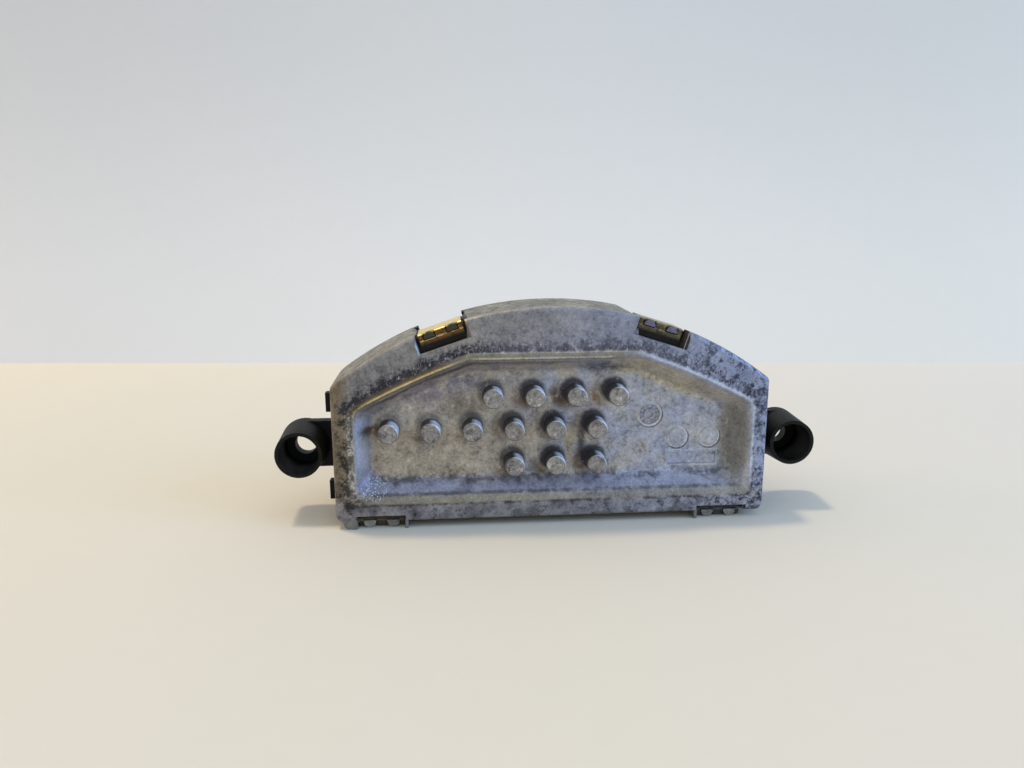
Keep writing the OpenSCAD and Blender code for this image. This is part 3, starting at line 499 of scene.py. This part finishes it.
def slope_coats(c):
    x, z, slope, patch = c.x, c.z, c.slope, c.patch
    foot = slope * c.low
    # The glint on the left slope and the bluish, lighter tints low on the slopes are painted
    # reflections of the cool light.
    glint = c.oval(-46.0, 19.0, 3.2, 9.5, 0.8) * slope * (c.spots * 1.5).least(0.85)
    top_right = c.ragged.band(2.4, 5.6, 1.8) * c.upper * x.rise(10, 18)
    top_left = c.ragged.band(2.2, 9.0, 2.5) * c.upper * x.rise(0, -20)
    return [
        (ink(142, 140, 148), slope * x.rise(-39, -44) * 0.7),
        (ink(192, 204, 232), glint),
        (ink(162, 164, 188), foot * 0.85),
        (ink(128, 134, 158), slope * x.rise(-40, -44) * z.band(6, 12, 2) * 0.45),
        (ink(170, 174, 192), foot * x.rise(5, 25) * 0.6),
        (ink(104, 96, 110), foot * x.rise(25, 5) * patch.rise(0.48, 0.64) * 0.55),
        (ink(124, 116, 98), c.oval(44.8, 18.0, 4.6, 16.0, 0.6) * 0.8),
        (ink(182, 172, 152), top_right * (0.4 + patch).least(1)),
        (ink(116, 110, 126), top_left * patch.rise(0.38, 0.6) * 0.7),
    ]


def floor_coats(c):
    x, z, floor = c.x, c.z, c.floor
    smear = c.oval(-21.0, 27.0, 8.0, 4.5, 0.8) * (0.4 + c.patch).least(1)
    silt = floor * c.ragged.rise(7.5, 4.5) * z.rise(16, 9) * x.rise(10, -10)
    return [
        (ink(160, 150, 132), floor * x.rise(-8, -30) * z.rise(22, 12) * 0.5),
        (ink(112, 104, 98), floor * smear * 0.75),
        (ink(92, 94, 104), c.oval(12, 36.0, 9, 3.0, 0.9) * c.spots.rise(0.35, 0.6) * 0.8),
        (ink(104, 96, 92), silt * c.blots.rise(0.46, 0.58) * 0.6),
    ]


# %% Lip and outer skin
def lip_coats(c):
    """Gold at the upper left, olive along the top, bluish at the right and beige below."""
    x, z, crisp, lip, upper, spots = c.x, c.z, c.crisp, c.lip, c.upper, c.spots
    shoulder = upper * x.rise(-6, -18)
    right_end = upper * x.rise(16, 26)
    # Painted shade in the crease under the top lip.
    crease = c.ragged.band(2.0, 2.9, 0.7) * c.depth.rise(1.2, 2.0) * upper * x.rise(12, 2)
    glint = crisp.band(1.25, 1.5, 0.2) * (c.fine * 1.7).least(1)
    outer_line = crisp.band(-0.4, -0.15, 0.3) * z.rise(8, 5)
    inner_line = crisp.band(1.9, 2.2, 0.35) * z.rise(10, 6)
    low_crease = c.ragged.band(4.7, 5.5, 0.9) * z.rise(11, 9)
    # Painted light on the lip: the gold and the blue are painted reflections, the glint and the
    # thin light lines painted highlights.
    return [
        (ink(80, 68, 54), lip * shoulder * 0.9),
        (ink(158, 132, 84), crisp.band(1.0, 1.8, 0.35) * c.bent * shoulder * 0.75),
        (ink(244, 228, 180), glint * shoulder * 0.85),
        (ink(138, 136, 130), lip * upper * x.band(-20, 14, 8) * 0.85),
        (ink(222, 220, 208), crisp.band(1.4, 1.6, 0.25) * upper * x.band(-16, 12, 4) * 0.7),
        (ink(210, 210, 204), crisp.band(-0.1, 0.15, 0.25) * upper * x.band(-16, 18, 5) * 0.6),
        (ink(186, 200, 230), crisp.band(-0.1, 0.7, 0.4) * right_end * 0.85),
        (ink(110, 116, 138), crisp.band(1.0, 1.5, 0.4) * right_end * 0.5),
        (ink(196, 206, 230), crisp.band(0.0, 0.3, 0.25) * x.rise(44, 46) * z.rise(5, 7) * 0.6),
        (ink(140, 134, 118), lip * z.rise(9, 5) * 0.7),
        (ink(72, 66, 64), outer_line * spots.rise(0.4, 0.56) * 0.7),
        (ink(80, 74, 72), inner_line * spots.rise(0.36, 0.55) * 0.6),
        (ink(62, 54, 62), crease * (0.55 + 0.3 * x.rise(-10, -24))),
        (ink(70, 66, 72), low_crease * spots.rise(0.4, 0.6) * 0.6),
    ]


def skin_coats(c):
    """The outer skin, and a painted highlight along its rounded front edge at the top."""
    front_edge_highlight = c.edge.rise(0.8, 0.3) * c.depth.band(0.05, 1.1, 0.4) * c.z.rise(34, 42)
    return [
        (ink(124, 122, 116), c.skin * 0.9),
        (ink(160, 158, 146), c.skin * c.patch.rise(0.48, 0.62) * 0.6),
        (ink(76, 72, 70), c.skin * c.blots.rise(0.52, 0.62) * 0.7),
        (ink(196, 190, 160), front_edge_highlight * (c.fine * 1.5).least(1) * 0.8),
    ]


# %% Dirt
def dirt_and_shade_coats(c):
    """The stains of the pins and their halos, partly dirt and partly painted shade, then the blots
    on the rim and the floor.
    """
    x, rim, floor, spots, blots, patch = c.x, c.rim, c.floor, c.spots, c.blots, c.patch
    rim_top, rim_low = rim * c.upper, rim * c.low
    brown_patch = c.oval(1.4, 28.8, 3.4, 3.6, 0.9) * floor * spots.rise(0.36, 0.56)
    rust_patch = c.oval(10.4, 28.2, 2.8, 4.2, 0.9) * floor * spots.rise(0.34, 0.56)
    streak = c.oval(7.3, 17.5, 1.7, 7.2, 0.9) * (0.6 + spots).least(1) * floor
    grime = rim * x.rise(-46.5, -48) * (blots + c.inside * 0.03).rise(0.42, 0.54)
    lip_grime = c.crisp.band(-0.4, 1.2, 0.6) * x.rise(-42, -46) * blots.rise(0.42, 0.54)
    specks = rim_top * x.rise(-10, -22) * (blots + c.near_lip * 0.18).rise(0.6, 0.69)
    lip_specks = rim_top * c.near_lip * x.band(-44, -24, 5) * blots.rise(0.45, 0.56)
    return [
        (ink(104, 80, 50), c.stain * 0.9),
        (ink(70, 46, 30), brown_patch * 0.85),
        (ink(138, 104, 54), rust_patch * 0.8),
        (ink(178, 166, 134), c.oval(4.4, 17.0, 2.0, 7.5, 0.8) * floor * 0.7),
        (ink(34, 34, 44), c.dirt_and_shade_halo),
        (ink(28, 24, 24), streak * 0.8),
        (ink(86, 66, 40), c.oval(-43.8, 21.5, 3.0, 2.0, 0.9) * (0.4 + spots).least(1)),
        (ink(30, 24, 18), grime * 0.9),
        (ink(54, 48, 44), lip_grime * 0.8),
        (ink(66, 62, 78), rim_top * (blots + c.near_lip * 0.12).rise(0.48, 0.66) * 0.8),
        (ink(30, 28, 36), specks * 0.85),
        (ink(54, 50, 54), lip_specks * 0.6),
        (ink(40, 46, 66), rim * x.rise(20, 44) * (blots + x / 900).rise(0.52, 0.62) * 0.85),
        (ink(76, 72, 82), rim_low * patch.rise(0.49, 0.62) * 0.6),
        (ink(158, 156, 162), rim_low * patch.rise(0.45, 0.36) * 0.6),
        (ink(44, 42, 46), rim_low * blots.rise(0.52, 0.62) * 0.7),
        (ink(96, 94, 98), floor * blots.rise(0.5, 0.68) * 0.5),
        (ink(200, 198, 192), floor * blots.rise(0.47, 0.38) * 0.25),
    ]


def bloom_coats(c):
    """White corrosion, and fine bright ticks on the rim above the lip."""
    ticks = c.f.noise(0.5, 2.0, stretch=(0.6, 1, 2.0), seed=14.0).rise(0.62, 0.7)
    ticks = ticks * c.rim * c.inside.rise(-3.5, -1.0) * c.upper
    return [(ink(228, 235, 248), c.bloom), (ink(205, 208, 220), ticks * 0.7)]


# %% Marks and pins
RING_X, RING_Z = 24.0, 23.8
DISCS = [(31.0, 17.9), (39.0, 17.9)]
DISC_R = 2.6
PLATE_MARK = (34.9, 12.5, 12.8, 3.9)


def mark_coats(c):
    """Raised edges that catch the light, with a thin shade at their lower right."""
    light = c.ring(RING_X, RING_Z, 2.95, 0.12)
    shade = c.ring(RING_X + 0.2, RING_Z - 0.2, 3.1, 0.1)
    for x, z in DISCS:
        light = light + c.ring(x, z, DISC_R, 0.1)
        shade = shade + c.ring(x + 0.25, z - 0.25, DISC_R + 0.15, 0.1)
    light = light + c.frame(*PLATE_MARK, 0.06)
    discs = sum(c.oval(x, z, DISC_R, DISC_R, 0.1) for x, z in DISCS)
    return [
        (ink(70, 66, 68), shade.least(1) * 0.7),
        (ink(190, 192, 196), discs * c.floor * 0.35),
        (ink(212, 214, 218), light.least(1) * (0.5 + c.fine).least(1) * 0.85),
    ]


def pin_coats(c):
    """Stems and mottled caps, with a painted highlight at the upper right and painted shade at the
    lower left.
    """
    depth, blots = c.depth, c.blots
    at_pin = c.pin()
    cap = at_pin.rise(2.55, 2.45) * depth.rise(0.4, 0.1)
    stem = at_pin.rise(3.6, 3.2) * depth.rise(0.1, 0.4) * depth.rise(4.7, 4.2)
    lit = c.facing(0.8, 0, 0.6).rise(0.4, 0.92)
    return [
        (ink(72, 68, 72), stem * 0.9),
        (ink(226, 232, 246), stem * lit * depth.rise(4.2, 2.6)),
        (ink(44, 42, 50), stem * lit.rise(0.4, 0.0) * 0.5),
        (ink(148, 143, 140), cap),
        (ink(98, 92, 92), cap * blots.rise(0.5, 0.6) * 0.7),
        (ink(192, 186, 178), cap * blots.rise(0.47, 0.4) * 0.6),
        (ink(88, 82, 84), cap * c.pin(0.4, 0.3).rise(2.45, 2.85) * 0.7),
        (ink(214, 218, 230), cap * c.pin(-0.4, -0.35).rise(2.5, 2.75) * 0.9),
    ]


# %% Pockets of the clips
def pocket_coats(c):
    """Four pockets darkened with painted shade, the two lugs in each, and the brim round each
    pocket's mouth, with painted highlights on the upper left brim.
    """
    x, z, depth = c.x, c.z, c.depth
    side = abs(x)
    top = side.band(20.3, 31.9, 0.3) * z.rise(36, 38)
    foot = side.band(34.5, 48, 0.3) * z.rise(5.5, 4.5)
    mouth = top.most(foot) * c.inside.rise(-0.6, -1.2) * c.edge.rise(0.3, 0.55)
    pocket = mouth * depth.rise(0.75, 0.95)
    lug = pocket * depth.rise(1.25, 1.1)
    high = z.rise(20, 24)
    brim = mouth * depth.band(0.12, 0.6, 0.06)
    low_lug = lug * (1 - high)
    return [
        (ink(50, 42, 38), pocket),
        (ink(112, 110, 134), lug * high),
        (ink(60, 56, 44), lug * high * x.rise(0, -10)),
        (ink(66, 62, 70), low_lug),
        (ink(102, 104, 118), low_lug * x.rise(0, 10) * c.blots.rise(0.42, 0.54)),
        (ink(66, 50, 38), pocket * high * x.rise(28.5, 29.5)),
        (ink(22, 18, 18), pocket * depth.rise(1.3, 2.0) * 0.95),
        (ink(60, 56, 54), brim),
        (ink(206, 192, 148), brim * high * x.rise(0, -10) * (c.fine * 1.7).least(1)),
        (ink(196, 206, 226), brim * high * x.rise(-29.6, -30.4)),
    ]


# %% [markdown]
# ## The casting's finish
#
# The metal is warm on the left and cool on the right, a painted reflection of the warm light
# from the left and the cool light from the right. The coats go over it, and a mottle makes
# the whole a little lighter here and darker there. Where there is dirt, and under the pins'
# halos, the surface is rougher and shines less like metal.


# %% Casting finish
LAYERS = [
    rim_coats, slope_coats, floor_coats, lip_coats, skin_coats,
    dirt_and_shade_coats, mark_coats, pin_coats, pocket_coats, bloom_coats,
]


def casting_finish():
    f = Finish("weathered_casting")
    c = Casting(f)
    # Warm on the left and cool on the right: a painted reflection of the warm and the cool light,
    # broken up by noise
    cool_light_share = c.x / 90 + 0.42 + (c.cloud - 0.5) * 1.4 + (c.patch - 0.5) * 1.3
    colour = f.mix(ink(172, 164, 154), ink(166, 172, 194), cool_light_share.rise(0.1, 0.95))
    coats = [coat for layer in LAYERS for coat in layer(c)]
    print("coats on the casting:", len(coats))
    mottle = 0.9 * c.cloud + 1.2 * c.spots + 0.9 * c.fine + 1.2 * c.grit
    colour = f.tone(f.paint(colour, coats), 3.1 - mottle)

    dull = (c.dirt_and_shade_halo + c.stain * 0.5 + c.bloom + c.blots.rise(0.5, 0.64) * 0.4).least(1)
    roughness = 0.44 + 0.16 * c.spots + dull * 0.25 - c.lip * 0.1
    normal = f.bump(c.grit, 0.04)
    normal = f.bump(c.spots + dull * 0.3, 0.12, normal)
    return f.done(colour, roughness, 0.4 - dull * 0.35, normal)


# %% [markdown]
# ## Pieces from the CAD meshes
#
# The CAD meshes arrive as loose triangles. A copy with its points joined can be shaded
# smoothly over the small facets of its rounded edges, while true edges stay sharp.


# %% Smooth copies
def merged_copy(node, name, sharp_angle=32):
    """A copy of a CAD node's mesh with its loose triangles joined, smooth over small facets."""
    mesh = frame["nodes"][node].data.copy()
    mesh.name = name
    custom = mesh.attributes.get("custom_normal")
    if custom:
        mesh.attributes.remove(custom)
    skin = bmesh.new()
    skin.from_mesh(mesh)
    bmesh.ops.remove_doubles(skin, verts=skin.verts, dist=1e-6)
    for face in skin.faces:
        face.smooth = True
    for edge in skin.edges:
        edge.smooth = edge.calc_face_angle(math.pi) < math.radians(sharp_angle)
    skin.to_mesh(mesh)
    skin.free()
    copy = bpy.data.objects.new(name, mesh)
    bpy.context.scene.collection.objects.link(copy)
    weigh = copy.modifiers.new("weigh", "WEIGHTED_NORMAL")
    weigh.keep_sharp = True
    return copy


def dress(piece, material, *nodes, slot=None):
    piece.data.materials.clear()
    piece.data.materials.append(material)
    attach(piece, "root")
    if nodes:
        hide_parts(*nodes)
    print(piece.name, "wears", material.name)
    return piece


casting = merged_copy("heat_sink", "casting")
dress(casting, casting_finish(), "heat_sink", slot="cast_aluminium")

# %% [markdown]
# ## The black housing
#
# The housing is moulded in black plastic with a fine grain, and dust lies on it in soft
# blots. The dust could be painted on an unwrapped picture. Noise needs no unwrapping and
# leaves no seams on a shape with ears, webs and sockets, so it is used here.


# %% Plastic
def plastic_finish():
    f = Finish("black_plastic")
    grain = f.noise(0.4, 2.0)
    dust = f.noise(3.0, 4.0).rise(0.45, 0.75)
    colour = f.mix(ink(9, 9, 10), ink(24, 20, 18), dust)
    return f.done(colour, 0.55 + 0.1 * dust, 0.0, f.bump(grain, 0.02), specular=0.22)


shell = merged_copy("housing", "shell")
dress(shell, plastic_finish(), "housing", slot="black_plastic")

# %% [markdown]
# ## The clips
#
# Four clips of plated spring steel hold the casting on the housing. Their bends stay bright
# as painted highlights, while the legs are rusty and darkened with painted shade where they
# lie in their pockets. Four painted pictures would do it too. A mask that measures along the
# clip from its bend does it with one function, wherever a clip sits and whichever way it leans.


# %% Clips
def clip_finish(name, plating, rust, dark, place, slant, worn_share):
    """Zinc plating, rusty on the leg; the bend and a thin strip on the leg stay bright as painted
    highlights, and painted shade darkens the end of the leg.
    """
    f = Finish(name)
    x, y, z = f.axes()
    lean = math.radians(slant)
    height = (x - place[0]) * math.sin(lean) + (z - FOOT - place[1]) * math.cos(lean)
    leg = (y - FRONT_Y).rise(2.4, 2.1)
    blots = f.noise(1.3, 4.0, seed=3.0) * 0.6 + f.noise(0.5, 3.0, seed=4.0) * 0.4
    bend = height.rise(-0.45, -0.15)
    strip = height.band(-1.85, -1.6, 0.12)
    worn = blots + 0.1 * leg * (1 - bend) + 0.06 * height.rise(-1.7, -2.2)
    worn = worn.rise(0.62 - worn_share, 0.7 - worn_share)
    worn = worn * (1 - 0.85 * bend) * (1 - 0.75 * strip * blots.rise(0.4, 0.55))
    colour = f.paint(plating, [
        (rust, worn),
        (dark, leg * height.rise(-2.2, -2.8) * 0.85),
        (dark, leg * (1 - bend) * blots.rise(0.5, 0.62) * 0.7),
    ])
    colour = f.tone(colour, 0.75 + 0.5 * f.noise(0.35, 2.0, stretch=(3, 1, 1)))
    return f.done(colour, 0.3 + 0.4 * worn, 0.9 - 0.7 * worn, f.bump(f.noise(0.5, 3.0), 0.03))


# Plating, rust, painted shade, place of the bend on the face, slant in degrees, share of rust
clip_looks = {
    "clip_top_left": (
        ink(255, 226, 150), ink(112, 72, 24), ink(26, 16, 8),
        (-26.55, 46.2), -18.4, 0.17,
    ),
    "clip_top_right": (
        ink(170, 158, 126), ink(92, 82, 58), ink(22, 17, 14),
        (25.57, 46.52), 17.7, 0.16,
    ),
    "clip_bottom_left": (
        ink(130, 120, 104), ink(70, 54, 40), ink(20, 17, 18),
        (-41.3, -1.7), 180, 0.2,
    ),
    "clip_bottom_right": (
        ink(128, 126, 132), ink(70, 64, 58), ink(20, 19, 20),
        (41.1, -1.7), 180, 0.2,
    ),
}
for node_name, look in clip_looks.items():
    clip = frame["nodes"][node_name].data
    clip.materials.clear()
    clip.materials.append(clip_finish("plated_" + node_name, *look))
print("clips dressed:", len(clip_looks))

# %% [markdown]
# ## The parts inside
#
# Most of the small parts need no more than two shades of one colour in soft blots. Some
# are made of two things, such as a capacitor's sleeve and its can, and a mask says which
# is where.


# %% Materials of the small parts
def small_finish(name, shades, roughness, metallic=0.0, size_mm=1.5, other=None, mask=None):
    """Two shades in blots.

    Other holds the shades, the roughness and the metallic value of the part where mask is 1.
    """
    f = Finish(name)
    blots = f.noise(size_mm, 4.0, rough=0.6).rise(0.38, 0.66)
    grain = f.noise(size_mm / 6, 3.0)
    colour = f.mix(*shades, blots)
    if other:
        where = mask(f)
        colour = f.mix(colour, f.mix(*other[0], blots), where)
        roughness = roughness + (other[1] - roughness) * where
        metallic = metallic + (other[2] - metallic) * where
    colour = f.tone(colour, 0.85 + 0.3 * grain)
    return f.done(colour, roughness + 0.15 * blots, metallic, f.bump(grain, 0.015))


def box_of(node):
    """The middle and the half size of a node, in millimetres."""
    spots = [v.co / MM for v in frame["nodes"][node].data.vertices]
    low, high = (Vector([pick(s[k] for s in spots) for k in range(3)]) for pick in (min, max))
    return (low + high) / 2, (high - low) / 2


def ends_along(node, axis, length_mm):
    """A mask of both ends of a node along X, Y or Z."""
    middle, half = box_of(node)
    start = half[axis] - length_mm
    return lambda f: abs(f.axes()[axis] - middle[axis]).rise(start, start + 0.05)


def traces(f):
    """Copper tracks under the board's green coat, drawn by a folded and warped ruler."""
    x, _, z = f.axes()
    ruler = x / 3.1 + f.noise(16.0, 1.0) * 3 + z.maths("SINE") * 0.02
    return ruler.maths("PINGPONG", 0.5).rise(0.2, 0.17)


CAN_END_MM = 1.9
silver = ((ink(200, 200, 196), ink(160, 156, 148)), 0.3, 0.95)
steel = small_finish("zinc_plated_steel", (ink(186, 186, 182), ink(140, 136, 124)), 0.3, 0.95, 0.8)
tinned = small_finish("tinned_brass", (ink(206, 204, 196), ink(168, 162, 146)), 0.25, 0.95, 1.2)
compound = small_finish("moulding_compound", (ink(32, 33, 35), ink(44, 43, 42)), 0.6, 0.0, 0.9)
copper = small_finish("tinned_copper", (ink(204, 160, 128), ink(176, 122, 88)), 0.3, 0.95, 1.4)
pad = small_finish("silicone_pad", (ink(150, 152, 156), ink(132, 134, 138)), 0.75, 0.0, 1.0)
small_parts = {
    "board_screws": steel,
    "clamp_screw": steel,
    "clamp_spring": small_finish(
        "spring_steel", (ink(124, 126, 132), ink(92, 90, 90)), 0.35, 0.95, 2.0
    ),
    "transistor_left": compound,
    "transistor_right": compound,
    "lead_frame_left": copper,
    "lead_frame_right": copper,
    "thermal_pad_left": pad,
    "thermal_pad_right": pad,
    "motor_blade_plus": tinned,
    "motor_blade_minus": tinned,
    "supply_blade_plus": tinned,
    "supply_blade_ground": tinned,
    "signal_pins": tinned,
    "choke_core": small_finish("ferrite", (ink(58, 58, 60), ink(42, 41, 42)), 0.5, 0.2, 0.7),
    "shunt": small_finish("shunt_alloy", (ink(178, 158, 136), ink(146, 124, 102)), 0.32, 0.95, 1.6),
    "suppressor_disc": small_finish(
        "blue_coating", (ink(44, 92, 160), ink(34, 74, 134)), 0.35, 0.0, 1.2
    ),
    "circuit_board": small_finish(
        "solder_mask", (ink(22, 78, 44), ink(16, 62, 36)), 0.3, 0.0, 3.0,
        ((ink(46, 116, 66), ink(38, 98, 54)), 0.28, 0.0), traces,
    ),
    "control_chip": small_finish(
        "chip_and_legs", (ink(30, 30, 32), ink(40, 39, 40)), 0.55, 0.0, 0.8,
        silver, ends_along("control_chip", 2, 1.15),
    ),
    "chip_capacitors": small_finish(
        "tan_ceramic", (ink(176, 142, 104), ink(152, 120, 84)), 0.5, 0.0, 0.8,
        silver, ends_along("chip_capacitors", 2, 0.5),
    ),
}
for node_name in ("supply_capacitor", "filter_capacitor"):
    small_parts[node_name] = small_finish(
        node_name + "_sleeve", (ink(20, 28, 66), ink(28, 36, 80)), 0.35, 0.0, 2.0,
        silver, ends_along(node_name, 0, CAN_END_MM),
    )
for node_name, material in small_parts.items():
    data = frame["nodes"][node_name].data
    data.materials.clear()
    data.materials.append(material)
print("small parts dressed:", len(small_parts))

# %% [markdown]
# ## Pieces that follow a rule
#
# The choke's wire, the solder joints and the crumbs of corrosion are not drawn one by
# one. A Geometry Nodes tree holds the rule for each, its inputs hold the numbers, and
# the result is kept as a plain mesh.


# %% A rule as a Geometry Nodes tree
class Rule:
    """A Geometry Nodes tree with named inputs. It makes one plain mesh."""

    def __init__(self, name, **inputs):
        self.name = name
        self.inputs = inputs
        self.tree = bpy.data.node_groups.new(name, "GeometryNodeTree")
        sockets = self.tree.interface
        sockets.new_socket("Geometry", in_out="INPUT", socket_type="NodeSocketGeometry")
        kinds = {
            int: "NodeSocketInt",
            float: "NodeSocketFloat",
            bpy.types.Material: "NodeSocketMaterial",
        }
        self.keys = {}
        for label, value in inputs.items():
            socket = sockets.new_socket(label, in_out="INPUT", socket_type=kinds[type(value)])
            self.keys[label] = socket.identifier
        sockets.new_socket("Geometry", in_out="OUTPUT", socket_type="NodeSocketGeometry")
        self.given = self.tree.nodes.new("NodeGroupInput").outputs

    def node(self, kind, values, settings=None, out=0):
        made = self.tree.nodes.new(kind)
        for key, value in (settings or {}).items():
            setattr(made, key, value)
        for key, value in values.items():
            if isinstance(value, bpy.types.NodeSocket):
                self.tree.links.new(value, made.inputs[key])
            else:
                made.inputs[key].default_value = value
        return made.outputs[out]

    def copies(self, points, shape, seed, smallest, largest):
        """The shape on every point, each copy a little larger or smaller."""
        size = self.node("FunctionNodeRandomValue", {"Seed": seed}, {"data_type": "FLOAT"}, out=1)
        chance = size.node
        chance.inputs[2].default_value = smallest
        chance.inputs[3].default_value = largest
        values = {"Points": points, "Instance": shape, "Scale": size}
        return self.node("GeometryNodeInstanceOnPoints", values)

    def make(self, last, mesh=None):
        """Ends the tree, runs it once and keeps the result as a plain mesh."""
        real = self.node("GeometryNodeRealizeInstances", {"Geometry": last})
        values = {"Geometry": real, "Material": self.given["material"]}
        painted = self.node("GeometryNodeSetMaterial", values)
        end = self.tree.nodes.new("NodeGroupOutput")
        self.tree.links.new(painted, end.inputs[0])
        start = mesh or bpy.data.meshes.new(self.name + "_start")
        maker = bpy.data.objects.new(self.name + "_rule", start)
        bpy.context.scene.collection.objects.link(maker)
        rule = maker.modifiers.new("rule", "NODES")
        rule.node_group = self.tree
        for label, key in self.keys.items():
            rule[key] = self.inputs[label]
        bpy.context.view_layer.update()
        seen = maker.evaluated_get(bpy.context.evaluated_depsgraph_get())
        result = bpy.data.meshes.new_from_object(seen)
        result.name = self.name
        bpy.data.objects.remove(maker)
        piece = bpy.data.objects.new(self.name, result)
        bpy.context.scene.collection.objects.link(piece)
        for face in result.polygons:
            face.use_smooth = True
        print(self.name, "triangles:", sum(len(face.vertices) - 2 for face in result.polygons))
        return piece


# %% The choke's wire
enamel = small_finish("enamelled_wire", (ink(188, 104, 52), ink(150, 76, 34)), 0.25, 0.9, 1.0)
middle, half = box_of("choke_winding")
WIRE_MM = 1.4
coil = Rule(
    "choke_wire",
    turns=10.0,
    radius=(half[2] - WIRE_MM / 2) * MM,
    length=(2 * half[0] - WIRE_MM) * MM,
    wire=WIRE_MM / 2 * MM,
    material=enamel,
)
path = coil.node("GeometryNodeCurveSpiral", {
    "Resolution": 24,
    "Rotations": coil.given["turns"],
    "Start Radius": coil.given["radius"],
    "End Radius": coil.given["radius"],
    "Height": coil.given["length"],
})
section = {"Resolution": 10, "Radius": coil.given["wire"]}
ring = coil.node("GeometryNodeCurvePrimitiveCircle", section)
sweep = {"Curve": path, "Profile Curve": ring, "Fill Caps": True}
tube = coil.node("GeometryNodeCurveToMesh", sweep)
start = (middle - Vector((half[0] - WIRE_MM / 2, 0, 0))) * MM
lie = {"Geometry": tube, "Translation": start, "Rotation": (0, math.pi / 2, 0)}
laid = coil.node("GeometryNodeTransform", lie)
dress(coil.make(laid), enamel, "choke_winding", slot="bare_copper")

# %% Solder joints
solder = small_finish("solder", (ink(206, 206, 204), ink(170, 168, 162)), 0.2, 0.95, 0.6)
BOARD_FRONT, BOARD_BACK = 16.0, 17.6
# Where the wires and the transistors' legs pass through the board, x and z in mm
wires = [(9.2, 28.0), (9.2, 32.0), (-33.2, 26.55), (-33.2, 29.55), (15.5, 29.5), (32.5, 29.5)]
legs = [(side * 12.5 + k * 5.45, 36.1) for side in (-1, 1) for k in (-1, 0, 1)]


def joints(name, places, y, way, radius_mm):
    """Solder cones on one side of the board; way is -1 for its front and 1 for its back."""
    start = bpy.data.meshes.new(name + "_places")
    start.from_pydata([(x * MM, (y + FRONT_Y) * MM, (z + FOOT) * MM) for x, z in places], [], [])
    rule = Rule(name, radius=radius_mm * MM, height=0.55 * MM, seed=4, material=solder)
    cone = rule.node("GeometryNodeMeshCone", {
        "Vertices": 20,
        "Radius Bottom": rule.given["radius"],
        "Radius Top": radius_mm * 0.45 * MM,
        "Depth": rule.given["height"],
    })
    stand = {"Geometry": cone, "Rotation": (-way * math.pi / 2, 0, 0)}
    stood = rule.node("GeometryNodeTransform", stand)
    points = rule.node("GeometryNodeMeshToPoints", {"Mesh": rule.given["Geometry"]})
    return rule.make(rule.copies(points, stood, rule.given["seed"], 0.92, 1.08), start)


dress(joints("solder_front", wires, BOARD_FRONT, -1, 0.95), solder, slot="tinned_metal")
dress(joints("solder_back", legs, BOARD_BACK, 1, 1.1), solder, slot="tinned_metal")

# %% Crumbs of corrosion
salt = small_finish("white_corrosion", (ink(236, 240, 248), ink(176, 186, 208)), 0.8, 0.0, 0.4)
crumb = Rule(
    "corrosion_crumbs",
    density=5.0e6,
    reach=3.6 * MM,
    radius=0.13 * MM,
    seed=11,
    material=salt,
)
place = Vector((-43.0, FRONT_Y + 2.6, 7.0 + FOOT)) * MM
spot = crumb.node("GeometryNodeInputPosition", {})
gap = crumb.node("ShaderNodeVectorMath", {0: spot, 1: place}, {"operation": "DISTANCE"}, out=1)
close = crumb.node("ShaderNodeMath", {0: gap, 1: crumb.given["reach"]}, {"operation": "LESS_THAN"})
points = crumb.node("GeometryNodeDistributePointsOnFaces", {
    "Mesh": crumb.given["Geometry"],
    "Selection": close,
    "Density": crumb.given["density"],
    "Seed": crumb.given["seed"],
})
# Whole faces are chosen above, so the points beyond the reach are taken away again
ball = crumb.node("GeometryNodeMeshIcoSphere", {"Radius": crumb.given["radius"], "Subdivisions": 1})
far = crumb.node("ShaderNodeMath", {0: gap, 1: crumb.given["reach"]}, {"operation": "GREATER_THAN"})
beyond = {"Geometry": points, "Selection": far}
near = crumb.node("GeometryNodeDeleteGeometry", beyond, {"domain": "POINT"})
grown = crumb.copies(near, ball, crumb.given["seed"], 0.35, 1.4)
dress(crumb.make(grown, casting.data.copy()), salt)

# %% [markdown]
# ## Last update
#
# At the end the scene is brought up to date.

# %% Bring the scene up to date
bpy.context.view_layer.update()
